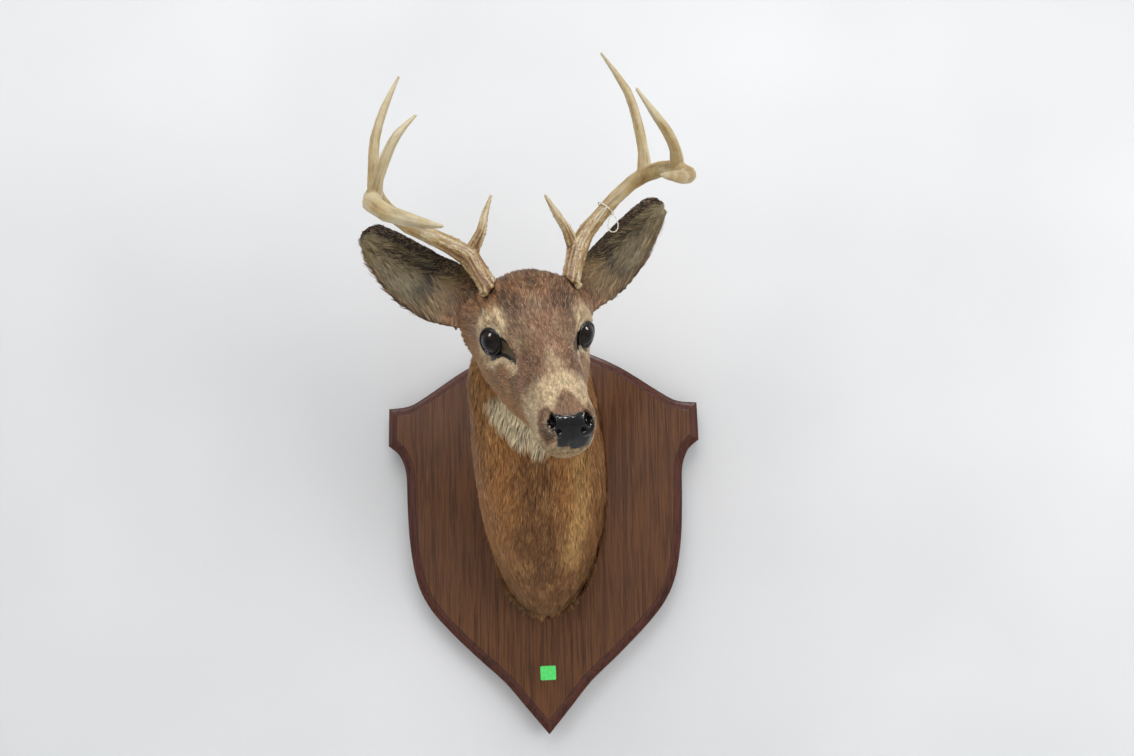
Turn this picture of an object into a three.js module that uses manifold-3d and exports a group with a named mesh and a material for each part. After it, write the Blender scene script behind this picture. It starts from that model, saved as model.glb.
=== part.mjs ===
// White-tailed buck head and neck on a wooden shield board, at life size.
//
// Millimetres, +Z up. The board's back lies in the plane Y = 0 and the deer faces -Y.
// X runs to the right of someone who stands in front of it. The origin is on the
// board's back, on its centre line and halfway between its peak and its point.
import * as THREE from "three";
import { mergeVertices } from "three/addons/utils/BufferGeometryUtils.js";
import Module from "manifold-3d";

const wasm = await Module();
wasm.setup();

// ---------------------------------------------------------------- sizes

const GAP = 0.3; // clearance left where two pieces meet
const SEAM = 0.34; // what a piece is cut back by, so that GAP stays after rounding
const BEYOND = 900; // size of a cutting block, larger than the whole mount

// Facets round each body and rows along it
const FACETS = {
  head: [32, 27],
  neck: [28, 12],
  ear: [16, 13],
  beam: [10, 1], // rows to each row of the table
  tine: [8, 2],
  burr: [12, 5],
  eye: 14,
  nose: 16,
  hollow: 10,
  knot: [8, 6],
};

const BOARD = {
  thickness: 20,
  edgeWidth: 12, // width of the moulded edge, seen from the front
  edgeDepth: 9, // how far the moulding drops
  // right half of the outline, as [x, z]
  point: [0, -254],
  side: [
    [30, -218],
    [56, -187],
    [93, -153],
    [132, -114],
    [154, -86],
    [168, -54],
    [176, -8],
    [179, 42],
    [180, 80],
    [184, 98],
    [191, 111],
  ],
  earLow: [203, 121],
  earHigh: [202, 170],
  shoulder: [
    [176, 173],
    [154, 185],
    [102, 219],
    [56, 240],
    [18, 250],
  ],
  peak: [0, 252],
};

const STICKER = { width: 20.4, height: 18.4, thickness: 0.6, x: 0, z: -176, tilt: -1.3 };

// The head's own axes: forward along the bridge of the nose, out to the deer's left,
// and up at right angles to the bridge. Its zero is midway between the eyes.
const HEAD = {
  turn: 15.67, // degrees, toward the viewer's right
  nod: 42.34, // degrees, nose down
  lean: 6.9, // degrees
  eyes: [0.1, -309.3, 211.7],
};

// Sections of the head from the nose to the nape, over the tips of the coat:
// [forward, top, bottom, half width, height of the widest line, squareness above, below]
const HEAD_SECTIONS = [
  [182, 0, -20, 16, -9, 2.3, 2.2],
  [178, 8, -31, 22, -8, 2.4, 2.3],
  [171, 13.5, -42, 27, -7, 2.5, 2.4],
  [160, 17, -51, 30.5, -8, 2.5, 2.4],
  [146, 19.5, -54, 32.5, -11, 2.4, 2.4],
  [128, 21, -57, 33.5, -14, 2.3, 2.4],
  [106, 23, -63, 35.5, -16, 2.3, 2.4],
  [84, 26, -71, 39.5, -18, 2.3, 2.4],
  [60, 30.5, -81, 46, -23, 2.1, 2.35],
  [34, 37.5, -90, 54, -21, 2.1, 2.25],
  [8, 45, -97, 62.5, -8, 2.3, 2.0],
  [-18, 51, -103, 67, -5, 2.4, 1.95],
  [-42, 54.5, -106, 66, -12, 2.3, 2.0],
  [-66, 51, -102, 62, -18, 2.2, 2.1],
  [-86, 41, -88, 55, -22, 2.1, 2.1],
  [-100, 26, -68, 43, -22, 2.0, 2.0],
];
const NOSE_FRONT = 184.5;
const SKULL_BACK = -108;

// Local swellings and hollows of the head, the same on both sides:
// [forward, out, up], [reach forward, out, up], height (less than zero is a hollow)
const HEAD_SWELLS = [
  { name: "brow ridge over the eye", at: [-2, 54, 26], reach: [18, 14, 8], height: 3 },
  { name: "eye socket", at: [16, 60, 4], reach: [20, 20, 14], height: -13 },
  { name: "pit in front of the eye", at: [44, 46, 6], reach: [20, 18, 14], height: -6 },
  { name: "hollow between the brows", at: [26, 0, 44], reach: [24, 14, 14], height: -2.5 },
  { name: "cheekbone under the eye", at: [26, 54, -24], reach: [26, 14, 10], height: 2.5 },
  { name: "cheek muscle", at: [-12, 58, -52], reach: [32, 18, 28], height: 4 },
  { name: "hollow behind the mouth", at: [84, 36, -44], reach: [24, 14, 14], height: -2.5 },
  { name: "side of the nostril", at: [163, 31, 0], reach: [12, 12, 12], height: 2.5 },
  { name: "upper lip", at: [158, 30, -27], reach: [18, 12, 8], height: 1.5 },
  { name: "chin", at: [150, 0, -54], reach: [14, 18, 10], height: 2.5 },
  { name: "hollow above the nose", at: [148, 0, 22], reach: [14, 18, 8], height: -1.5 },
  { name: "antler seat", at: [-46, 38, 46], reach: [15, 15, 15], height: 5 },
  { name: "ear root", at: [-66, 58, 6], reach: [20, 20, 28], height: 13 },
  { name: "fold below the ear", at: [-70, 66, -34], reach: [22, 24, 26], height: 16 },
];

const EYE = { radius: 18, at: [0, 47.5, 2] };
const TEAR = { at: [31, 40, -1], size: [11, 7, 2.4], sweep: 6 };
const NOSTRIL = { at: [174, 21.5, 8], size: [9, 5.5, 7.5] };
const NOSE_PAD = { at: [175, 0, -4], size: [17, 25, 17.5] };
const MOUTH = { depth: 3.5, height: 1.4, line: [[190, -30], [172, -34], [150, -37], [122, -42], [100, -47]] };

// Ears, in the head's axes for the left one. root and tip are [forward, out, up].
const EAR = {
  root: [-62, 46, 8],
  tip: { left: [-158, 188, 79], right: [-151, 187, 66] },
  faces: { left: [0.64, 0.52, 0.54], right: [0.8, 0.25, 0.55] },
  spread: { left: [0.84, 0.86], right: [1, 1] }, // share of the upper and lower reach
  thickness: 6,
  // along from root to tip: reach of the upper edge, of the lower edge, depth of the cup
  outline: [
    [0.0, 18, 36, 14],
    [0.16, 24, 47, 20],
    [0.32, 29, 53, 21],
    [0.48, 31, 52, 18],
    [0.64, 31, 45, 14],
    [0.78, 30, 33, 10],
    [0.9, 25, 20, 6],
    [1.0, 15, 6, 3],
  ],
};

// Neck sections from the board to the head:
// nape [y, z], throat [y, z], half width, shift to the right, turn toward the face in degrees
const NECK_SECTIONS = [
  [[-20, 205], [-20, -101], 79, 0, 0],
  [[-48, 207], [-54, -99], 82, 0, 1],
  [[-85, 213], [-100, -76], 83, -2, 3],
  [[-125, 224], [-144, -34], 83, -4, 5],
  [[-162, 240], [-178, 18], 80, -7, 7],
  [[-196, 260], [-200, 72], 75, -9, 9],
  [[-224, 280], [-210, 120], 67, -10, 12],
  [[-246, 290], [-218, 156], 56, -11, 15],
];
const NECK_SQUARENESS = 2.2;
const NECK_KEEL = 0.16; // how much narrower a section is toward the throat
// Where the neck piece ends and the head piece begins
const NECK_CUT = { through: [0, -214, 205], normal: [0.1, -0.78, 0.62] };

// Antlers, in the head's axes: [forward, out, up, radius]. The beam runs from the burr
// to its point and each tine from inside the beam to its own point.
const ANTLERS = {
  left: {
    beam: [
      [-36, 39, 28, 11.3],
      [-48, 46, 37, 11.3],
      [-69, 55, 49, 11.0],
      [-92, 65, 61, 12.4],
      [-107, 77, 72, 9.6],
      [-118, 96, 87, 8.5],
      [-129, 116, 103, 8.5],
      [-134, 135, 118, 8.8],
      [-130, 150, 131, 9.8],
      [-110, 163, 148, 9.4],
      [-86, 174, 161, 9.8],
      [-64, 182, 163, 10.0],
      [-41, 169, 174, 8.0],
      [-17, 153, 188, 6.4],
      [4, 137, 201, 4.6],
      [25, 122, 214, 1.6],
    ],
    brow: [
      [-91, 60, 59, 8.5],
      [-99, 52, 80, 6.2],
      [-113, 42, 95, 4.8],
      [-136, 32, 109, 1.6],
    ],
    second: [
      [-131, 150, 133, 9.5],
      [-146, 151, 152, 6.8],
      [-168, 147, 182, 6.0],
      [-187, 137, 213, 5.2],
      [-213, 109, 251, 1.5],
    ],
    third: [
      [-86, 175, 162, 9.5],
      [-83, 170, 186, 6.8],
      [-86, 160, 207, 6.4],
      [-93, 147, 225, 5.2],
      [-112, 126, 252, 1.6],
    ],
  },
  right: {
    beam: [
      [-36, 39, 28, 11.3],
      [-48, 46, 36, 11.5],
      [-71, 56, 49, 11.3],
      [-91, 65, 59, 12.6],
      [-104, 85, 68, 10.4],
      [-113, 108, 78, 9.4],
      [-120, 132, 89, 9.0],
      [-127, 154, 106, 9.2],
      [-126, 169, 130, 10.2],
      [-102, 174, 139, 10.4],
      [-79, 177, 149, 10.8],
      [-59, 180, 155, 11],
      [-28, 168, 159, 9.8],
      [-1, 150, 165, 8.0],
      [27, 134, 174, 5.6],
      [44, 117, 179, 1.8],
    ],
    brow: [
      [-93, 62, 64, 8.5],
      [-101, 50, 85, 6.0],
      [-114, 44, 97, 4.6],
      [-137, 32, 113, 1.5],
    ],
    second: [
      [-129, 168, 133, 9.5],
      [-149, 167, 161, 6.6],
      [-164, 163, 181, 5.9],
      [-182, 150, 209, 4.6],
      [-204, 130, 237, 1.5],
    ],
    third: [
      [-81, 175, 155, 9.5],
      [-78, 171, 175, 7.2],
      [-83, 160, 201, 6.2],
      [-91, 147, 221, 5.0],
      [-104, 124, 237, 1.5],
    ],
  },
};
const BURR = { at: 0.07, radius: 14.5, length: 5 };
const BEAM_SPLITS = [3, 10]; // which beam points the brow tine and the third tine rise from

// A price-tag string tied round the left beam, with a loop and two tails
const STRING = {
  radius: 0.65,
  slack: 1.6, // room between the ring and the beam
  around: 0.358, // how far up the beam, of its length
  knot: { radius: 1.9, turn: 66 }, // degrees round the beam, from the front
  loop: { width: 15.5, drop: 24, forward: 3 },
  tails: {
    turn: 8, // where they leave the ring
    reach: [
      [-15, -6, -17],
      [-12, -8, -18],
    ],
  },
  ringSteps: 18,
  loopSteps: 14,
  tailSteps: 3,
};

const COLOURS = {
  board: 0x4a2c20,
  sticker: 0x35d33a,
  neck: 0xa2662f,
  head: 0x8a6244,
  ear: 0x7d6a50,
  nose: 0x1b1a1a,
  eye: 0x0d0b0c,
  antler: 0xb79a68,
  antlerBase: 0x8f6b3e,
  string: 0xf3f0ea,
};

// ---------------------------------------------------------------- helpers

const vec = (p) => new THREE.Vector3(...p);
const rad = THREE.MathUtils.degToRad;

// A closed body from a sphere's grid: place(t, turn) gives the point at t (0 to 1, end to
// end) and turn (0 to 2 pi, round the section). Both ends close at a single point.
function closedLoft(around, along, place) {
  const shape = new THREE.SphereGeometry(1, around, along);
  const points = shape.getAttribute("position");
  for (let i = 0; i < points.count; i++) {
    const row = Math.floor(i / (around + 1));
    const column = (i % (around + 1)) % around;
    const p = place(row / along, (2 * Math.PI * column) / around);
    points.setXYZ(i, p.x, p.y, p.z);
  }
  return shape;
}

function toSolid(geometry) {
  const bare = new THREE.BufferGeometry();
  bare.setAttribute("position", geometry.getAttribute("position").clone());
  if (geometry.index) bare.setIndex(geometry.index.clone());
  const merged = mergeVertices(bare, 1e-4);
  const triVerts = new Uint32Array(merged.index.array);
  const vertProperties = merged.getAttribute("position").array;
  let solid = new wasm.Manifold(new wasm.Mesh({ numProp: 3, vertProperties, triVerts }));
  if (solid.volume() < 0) {
    triVerts.reverse();
    solid = new wasm.Manifold(new wasm.Mesh({ numProp: 3, vertProperties, triVerts }));
  }
  return solid;
}

function toGeometry(solid) {
  const mesh = largestBody(solid).getMesh();
  const geometry = new THREE.BufferGeometry();
  geometry.setAttribute("position", new THREE.BufferAttribute(new Float32Array(mesh.vertProperties), 3));
  geometry.setIndex(new THREE.BufferAttribute(new Uint32Array(mesh.triVerts), 1));
  geometry.computeVertexNormals();
  return geometry;
}

// Cuts can leave slivers: only the main body is kept.
function largestBody(solid) {
  return solid.decompose().reduce((best, body) => (body.volume() > best.volume() ? body : best));
}

// A smooth value between the rows of a table, whose first column is the position.
function readTable(table, position) {
  const rising = table[table.length - 1][0] > table[0][0];
  const rows = rising ? table : [...table].reverse();
  const p = THREE.MathUtils.clamp(position, rows[0][0], rows[rows.length - 1][0]);
  let i = rows.findIndex((row) => row[0] >= p);
  i = Math.max(1, i);
  const before = rows[Math.max(0, i - 2)];
  const from = rows[i - 1];
  const to = rows[i];
  const after = rows[Math.min(rows.length - 1, i + 1)];
  const f = (p - from[0]) / (to[0] - from[0]);
  return from.map((value, k) => cubic(before, from, to, after, k, f));
}

// Cubic through from and to, with slopes taken from the rows on either side.
function cubic(before, from, to, after, k, f) {
  const span = to[0] - from[0];
  const slopeIn = ((to[k] - before[k]) / (to[0] - before[0] || 1)) * span;
  const slopeOut = ((after[k] - from[k]) / (after[0] - from[0] || 1)) * span;
  const f2 = f * f;
  const f3 = f2 * f;
  const start = (2 * f3 - 3 * f2 + 1) * from[k] + (f3 - 2 * f2 + f) * slopeIn;
  return start + (3 * f2 - 2 * f3) * to[k] + (f3 - f2) * slopeOut;
}

// Point of a rounded-square curve: squareness 2 is an ellipse.
function superellipse(turn, squareness) {
  const c = Math.cos(turn);
  const s = Math.sin(turn);
  const power = 2 / squareness;
  return [Math.sign(c) * Math.abs(c) ** power, Math.sign(s) * Math.abs(s) ** power];
}

function headMatrix() {
  const turn = rad(HEAD.turn);
  const nod = rad(HEAD.nod);
  const lean = rad(HEAD.lean);
  const forward = vec([Math.sin(turn) * Math.cos(nod), -Math.cos(turn) * Math.cos(nod), -Math.sin(nod)]);
  const level = vec([Math.cos(turn), Math.sin(turn), 0]);
  const above = forward.clone().cross(level);
  if (above.z < 0) above.negate();
  const left = level.clone().multiplyScalar(Math.cos(lean)).addScaledVector(above, Math.sin(lean));
  const up = above.clone().multiplyScalar(Math.cos(lean)).addScaledVector(level, -Math.sin(lean));
  return new THREE.Matrix4().makeBasis(forward, left, up).setPosition(vec(HEAD.eyes));
}
const HEAD_TO_WORLD = headMatrix();
const inHead = (p) => vec(p).applyMatrix4(HEAD_TO_WORLD);

// An ellipsoid in the head's axes, turned by sweep degrees about the outward axis.
function headEllipsoid(at, size, grow, { sweep = 0, around }) {
  const ball = new THREE.SphereGeometry(1, around, Math.round(around * 0.6));
  ball.scale(size[0] + grow, size[1] + grow, size[2] + grow);
  ball.rotateY(rad(sweep));
  ball.translate(...at);
  ball.applyMatrix4(HEAD_TO_WORLD);
  return toSolid(ball);
}

// ---------------------------------------------------------------- board

function boardOutline() {
  const mirror = ([x, z]) => [-x, z];
  const through = (list, pieces) => {
    const curve = new THREE.SplineCurve(list.map(([x, z]) => new THREE.Vector2(x, z)));
    return curve.getPoints(pieces).slice(0, -1);
  };
  const { side, shoulder } = BOARD;
  return new THREE.Shape([
    ...through([BOARD.point, ...side, BOARD.earLow], 24),
    new THREE.Vector2(...BOARD.earLow),
    ...through([BOARD.earHigh, ...shoulder, BOARD.peak], 12),
    ...through([BOARD.peak, ...shoulder.map(mirror).reverse(), mirror(BOARD.earHigh)], 12),
    new THREE.Vector2(...mirror(BOARD.earHigh)),
    ...through([mirror(BOARD.earLow), ...side.map(mirror).reverse(), BOARD.point], 24),
  ]);
}

// The outline is drawn in X and Y, then stood up: its depth becomes -Y.
function boardSolid() {
  const shape = new THREE.ExtrudeGeometry(boardOutline(), {
    depth: BOARD.thickness - BOARD.edgeDepth,
    bevelEnabled: true,
    bevelThickness: BOARD.edgeDepth,
    bevelSize: BOARD.edgeWidth,
    bevelOffset: -BOARD.edgeWidth,
    bevelSegments: 2,
  });
  shape.rotateX(Math.PI / 2);
  const slab = toSolid(shape);
  const wall = new THREE.BoxGeometry(BEYOND, BOARD.edgeDepth * 2, BEYOND);
  wall.translate(0, BOARD.edgeDepth, 0);
  return slab.subtract(toSolid(wall));
}

function stickerSolid() {
  const pad = new THREE.BoxGeometry(STICKER.width, STICKER.thickness, STICKER.height);
  pad.rotateY(rad(STICKER.tilt));
  pad.translate(STICKER.x, -BOARD.thickness - GAP - STICKER.thickness / 2, STICKER.z);
  return toSolid(pad);
}

// ---------------------------------------------------------------- head

function swellAt(p) {
  let push = 0;
  for (const { at, reach, height } of HEAD_SWELLS) {
    const sides = at[1] === 0 ? [0] : [at[1], -at[1]];
    for (const out of sides) {
      const a = (p.x - at[0]) / reach[0];
      const b = (p.y - out) / reach[1];
      const c = (p.z - at[2]) / reach[2];
      push += height * Math.exp(-(a * a + b * b + c * c));
    }
  }
  return push;
}

// Spreads the sections so that they crowd toward the two ends.
function headStation(t) {
  const eased = t - 0.085 * Math.sin(2 * Math.PI * t) * (1 - 0.3 * t);
  return THREE.MathUtils.lerp(NOSE_FRONT, SKULL_BACK, eased);
}

function headPoint(t, turn, grow) {
  const forward = headStation(t);
  const row = readTable(HEAD_SECTIONS, forward);
  const [, top, bottom, half, widest, above, below] = row;
  const ends = endRounding(forward);
  const upper = Math.sin(turn) >= 0;
  const [side, rise] = superellipse(turn, upper ? above : below);
  const height = (upper ? top - widest : widest - bottom) * ends;
  const p = vec([forward, side * half * ends, widest + rise * height]);
  const outward = vec([0, p.y / (half || 1), (p.z - widest) / (Math.abs(height) || 1)]).normalize();
  const lift = (swellAt(p) + grow) * Math.min(1, ends * 2);
  p.addScaledVector(outward, lift);
  p.x += grow * (t < 0.05 ? 1 : 0);
  return p.applyMatrix4(HEAD_TO_WORLD);
}

// 0 at the very ends of the head, 1 inside the first and last sections.
function endRounding(forward) {
  const nose = HEAD_SECTIONS[0][0];
  const nape = HEAD_SECTIONS[HEAD_SECTIONS.length - 1][0];
  let away = 0;
  if (forward > nose) away = (forward - nose) / (NOSE_FRONT - nose);
  if (forward < nape) away = (nape - forward) / (nape - SKULL_BACK);
  return Math.sqrt(Math.max(0, 1 - away * away));
}

function headLoft(grow) {
  const [around, along] = FACETS.head;
  return toSolid(closedLoft(around, along, (t, turn) => headPoint(t, turn, grow)));
}

// ---------------------------------------------------------------- neck

function neckRow(t) {
  const last = NECK_SECTIONS.length - 1;
  const flat = NECK_SECTIONS.map((row, i) => [i, ...row.flat()]);
  const [, napeY, napeZ, throatY, throatZ, half, shift, turn] = readTable(flat, t * last);
  return { nape: vec([shift, napeY, napeZ]), throat: vec([shift, throatY, throatZ]), half, turn: rad(turn) };
}

function neckPoint(t, turn, rows) {
  const closing = t === 0 || t === 1;
  const inside = THREE.MathUtils.clamp((t * rows - 1) / (rows - 2), 0, 1);
  const row = neckRow(inside);
  const centre = row.nape.clone().lerp(row.throat, 0.5);
  if (closing) return centre;
  const [side, rise] = superellipse(turn, NECK_SQUARENESS);
  const across = vec([Math.cos(row.turn), Math.sin(row.turn), 0]);
  return centre
    .addScaledVector(across, side * row.half * (1 - NECK_KEEL * Math.max(0, -rise)))
    .addScaledVector(row.nape.clone().sub(row.throat), rise / 2);
}

function neckLoft() {
  const [around, along] = FACETS.neck;
  const whole = toSolid(closedLoft(around, along, (t, turn) => neckPoint(t, turn, along)));
  const wall = new THREE.BoxGeometry(BEYOND, BEYOND, BEYOND);
  wall.translate(0, BEYOND / 2 - BOARD.thickness - SEAM, 0);
  return whole.subtract(toSolid(wall));
}

// A huge box whose one face lies in the neck cut, on the neck's side.
function neckSide(shift) {
  const box = new THREE.BoxGeometry(BEYOND, BEYOND, BEYOND);
  box.translate(0, 0, shift - BEYOND / 2);
  const normal = vec(NECK_CUT.normal).normalize();
  box.applyQuaternion(new THREE.Quaternion().setFromUnitVectors(vec([0, 0, 1]), normal));
  box.translate(...NECK_CUT.through);
  return toSolid(box);
}

// ---------------------------------------------------------------- face

function mouthCut() {
  const { depth, height, line } = MOUTH;
  const points = line.map(([forward, up]) => new THREE.Vector2(forward, up));
  const upper = new THREE.SplineCurve(points).getPoints(8);
  const lower = upper.map((p, i) => new THREE.Vector2(p.x, p.y - height * (1 - i / (upper.length + 2))));
  const shape = new THREE.Shape([...upper, ...lower.reverse()]);
  const plate = new THREE.ExtrudeGeometry(shape, { depth: BEYOND, bevelEnabled: false });
  plate.translate(0, 0, -BEYOND / 2);
  // drawn forward and up, extruded across
  plate.applyMatrix4(new THREE.Matrix4().makeBasis(vec([1, 0, 0]), vec([0, 0, 1]), vec([0, 1, 0])));
  plate.applyMatrix4(HEAD_TO_WORLD);
  return toSolid(plate).subtract(headLoft(-depth));
}

const sided = (at, side) => [at[0], at[1] * side, at[2]];

function eyeSolid(side, grow) {
  const size = [EYE.radius, EYE.radius, EYE.radius];
  return headEllipsoid(sided(EYE.at, side), size, grow, { around: FACETS.eye });
}

const nosePad = (grow) => headEllipsoid(NOSE_PAD.at, NOSE_PAD.size, grow, { around: FACETS.nose });

function headPieces() {
  let carved = headLoft(0).subtract(mouthCut());
  for (const side of [1, -1]) {
    const hollow = { sweep: TEAR.sweep, around: FACETS.hollow };
    carved = carved
      .subtract(eyeSolid(side, SEAM))
      .subtract(headEllipsoid(sided(TEAR.at, side), TEAR.size, 0, hollow))
      .subtract(headEllipsoid(sided(NOSTRIL.at, side), NOSTRIL.size, 0, { around: FACETS.hollow }));
  }
  const body = carved.add(neckLoft());
  return {
    head: body.subtract(neckSide(SEAM)).subtract(nosePad(SEAM)),
    neck: body.intersect(neckSide(0)),
    nose: carved.intersect(nosePad(0)),
  };
}

// ---------------------------------------------------------------- ears

function earFrame(side) {
  const name = side > 0 ? "left" : "right";
  const root = vec(EAR.root);
  const along = vec(EAR.tip[name]).sub(root);
  const axis = along.clone().normalize();
  const faces = vec(EAR.faces[name]);
  faces.addScaledVector(axis, -faces.dot(axis)).normalize();
  const upper = faces.clone().cross(axis);
  if (upper.z < 0) upper.negate();
  return { root, length: along.length(), axis, faces, upper, spread: EAR.spread[name] };
}

function earPoint(frame, side, t, turn) {
  const [, up, down, cup] = readTable(EAR.outline, t);
  const across = Math.cos(turn);
  const closing = Math.min(1, Math.sqrt(Math.max(0, 1 - t) * 11)) * Math.min(1, t * 30);
  const reach = across > 0 ? up * frame.spread[0] : down * frame.spread[1];
  const width = reach * across * closing;
  const edge = Math.sqrt(Math.abs(Math.sin(turn))) * Math.sign(Math.sin(turn));
  const bowl = t === 0 || t === 1 ? 1 : 1 - across * across;
  const depth = -cup * bowl + (edge * EAR.thickness * closing) / 2;
  const p = frame.root
    .clone()
    .addScaledVector(frame.axis, t * frame.length)
    .addScaledVector(frame.upper, width)
    .addScaledVector(frame.faces, depth);
  p.y *= side;
  return p.applyMatrix4(HEAD_TO_WORLD);
}

function earSolid(side, head) {
  const frame = earFrame(side);
  const [around, along] = FACETS.ear;
  const crowded = (t) => t + 0.4 * t * (1 - t); // rows close up toward the tip
  const leaf = closedLoft(around, along, (t, turn) => earPoint(frame, side, crowded(t), turn));
  return toSolid(leaf).subtract(head);
}

// ---------------------------------------------------------------- antlers

const hornCurve = (rows, side) =>
  new THREE.CatmullRomCurve3(rows.map(([f, o, u]) => inHead([f, o * side, u])), false, "centripetal");

// A tapering tube through [forward, out, up, radius] rows, between two of them. Its
// facets are turned to face the given direction.
function hornTube(rows, side, facets, faces, { from = 0, to = rows.length - 1, grow = 0, start = 0 } = {}) {
  const curve = hornCurve(rows, side);
  const last = rows.length - 1;
  const along = (to - from) * facets[1] + 2;
  const place = (t, turn) => {
    const inside = THREE.MathUtils.clamp((t * along - 1) / (along - 2), 0, 1);
    const row = THREE.MathUtils.lerp(from, to, inside);
    const direction = curve.getTangent(row / last);
    const centre = curve.getPoint(row / last).addScaledVector(direction, inside === 0 ? start : 0);
    if (t === 0 || t === 1) return centre;
    const front = faces.clone().addScaledVector(direction, -faces.dot(direction)).normalize();
    const across = direction.cross(front);
    const radius = radiusAt(rows, row) + grow;
    return centre
      .addScaledVector(front, Math.cos(turn) * radius)
      .addScaledVector(across, Math.sin(turn) * radius);
  };
  return toSolid(closedLoft(facets[0], along, place));
}

function radiusAt(rows, row) {
  const i = Math.min(rows.length - 2, Math.floor(row));
  return THREE.MathUtils.lerp(rows[i][3], rows[i + 1][3], row - i);
}

function burrRing(rows, side) {
  const curve = hornCurve(rows, side);
  const ring = new THREE.SphereGeometry(1, ...FACETS.burr);
  ring.scale(BURR.radius, BURR.length, BURR.radius);
  const turn = new THREE.Quaternion().setFromUnitVectors(vec([0, 1, 0]), curve.getTangent(BURR.at));
  ring.applyQuaternion(turn);
  ring.translate(...curve.getPoint(BURR.at));
  return toSolid(ring);
}

function antlerPieces(set, side, head) {
  const [first, second] = BEAM_SPLITS;
  const above = vec([0, 0, 1]).transformDirection(HEAD_TO_WORLD);
  const outward = vec([0, side, 0]).transformDirection(HEAD_TO_WORLD);
  const beam = (range) => hornTube(set.beam, side, FACETS.beam, above, range);
  const whole = beam({ grow: SEAM });
  const tine = (rows) => hornTube(rows, side, FACETS.tine, outward).subtract(whole);
  return {
    base: beam({ to: first }).add(burrRing(set.beam, side)).subtract(head),
    brow_tine: tine(set.brow),
    beam: beam({ from: first, to: second, start: SEAM }),
    second_tine: tine(set.second),
    third_tine: tine(set.third),
    tip: beam({ from: second, start: SEAM }),
  };
}

// ---------------------------------------------------------------- string

function cordAlong(points, steps, closed = false) {
  const extrudePath = new THREE.CatmullRomCurve3(points, closed);
  const round = new THREE.Shape();
  round.absarc(0, 0, STRING.radius, 0, 2 * Math.PI);
  return toSolid(new THREE.ExtrudeGeometry(round, { steps, curveSegments: 3, extrudePath }));
}

// Points round the beam, at an angle from the side that faces the room.
function ringAround(rows) {
  const curve = hornCurve(rows, 1);
  const centre = curve.getPoint(STRING.around);
  const axis = curve.getTangent(STRING.around);
  const beamRadius = radiusAt(rows, STRING.around * (rows.length - 1));
  const radius = beamRadius + STRING.slack + STRING.radius + GAP;
  const front = vec([0, -1, 0]).addScaledVector(axis, axis.y).normalize();
  const across = axis.clone().cross(front);
  if (across.x < 0) across.negate();
  return (degrees) => {
    const turn = rad(degrees);
    return centre
      .clone()
      .addScaledVector(front, Math.cos(turn) * radius)
      .addScaledVector(across, Math.sin(turn) * radius);
  };
}

function stringSolid() {
  const { knot, tails, ringSteps, loopSteps, tailSteps } = STRING;
  const ringPoint = ringAround(ANTLERS.left.beam);
  const turns = Array.from({ length: ringSteps / 2 }, (_, i) => (720 * i) / ringSteps);
  const knotAt = ringPoint(knot.turn);
  const ball = new THREE.SphereGeometry(knot.radius, ...FACETS.knot);
  ball.translate(...knotAt);
  const ends = tails.reach.map((reach) => {
    const from = ringPoint(tails.turn);
    const points = [0, 0.35, 0.7, 1].map((f) => from.clone().addScaledVector(vec(reach), f));
    return cordAlong(points, tailSteps);
  });
  return [
    cordAlong(turns.map(ringPoint), ringSteps, true),
    toSolid(ball),
    cordAlong(stringLoop(knotAt), loopSteps, true),
    ...ends,
  ].reduce((whole, piece) => whole.add(piece));
}

// A teardrop, narrow at the knot.
function stringLoop(knotAt) {
  const { width, drop, forward } = STRING.loop;
  const count = STRING.loopSteps / 2;
  return Array.from({ length: count }, (_, i) => {
    const turn = (2 * Math.PI * i) / count;
    const fall = (1 - Math.cos(turn)) / 2;
    const out = (Math.sin(turn) * width * Math.sqrt(fall)) / 2;
    return vec([out, -forward * fall - 1, -fall * drop]).add(knotAt);
  });
}

// ---------------------------------------------------------------- assembly

const pieces = [];
function addPiece(name, solid, colour, roughness) {
  const mesh = new THREE.Mesh(
    toGeometry(solid),
    new THREE.MeshStandardMaterial({ color: colour, roughness, metalness: 0 }),
  );
  mesh.name = name;
  pieces.push(mesh);
}

const parts = headPieces();
const room = headLoft(SEAM);
addPiece("shield_board", boardSolid(), COLOURS.board, 0.45);
addPiece("lot_sticker", stickerSolid(), COLOURS.sticker, 0.5);
addPiece("neck", parts.neck, COLOURS.neck, 0.9);
addPiece("head", parts.head, COLOURS.head, 0.9);
addPiece("nose_pad", parts.nose, COLOURS.nose, 0.25);
for (const [name, side] of [["left", 1], ["right", -1]]) {
  addPiece("eye_" + name, eyeSolid(side, 0), COLOURS.eye, 0.05);
  addPiece("ear_" + name, earSolid(side, room), COLOURS.ear, 0.9);
  for (const [part, solid] of Object.entries(antlerPieces(ANTLERS[name], side, room))) {
    const stained = part === "base" || part === "brow_tine";
    addPiece("antler_" + name + "_" + part, solid, stained ? COLOURS.antlerBase : COLOURS.antler, 0.55);
  }
}
addPiece("tag_string", stringSolid(), COLOURS.string, 0.8);

const deer = new THREE.Group();
deer.add(...pieces);
export default deer;
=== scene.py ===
"""White-tailed buck's head and neck on a wooden shield board, dressed round its fixed CAD frame.

Lengths in the tables are millimetres, as in the frame's own drawing, and every mesh is in metres.
"""

import math

import bmesh
import bpy
import numpy as np
from bpy.props import FloatProperty, FloatVectorProperty, PointerProperty
from mathutils import Matrix, Vector
from mathutils.bvhtree import BVHTree


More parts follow.
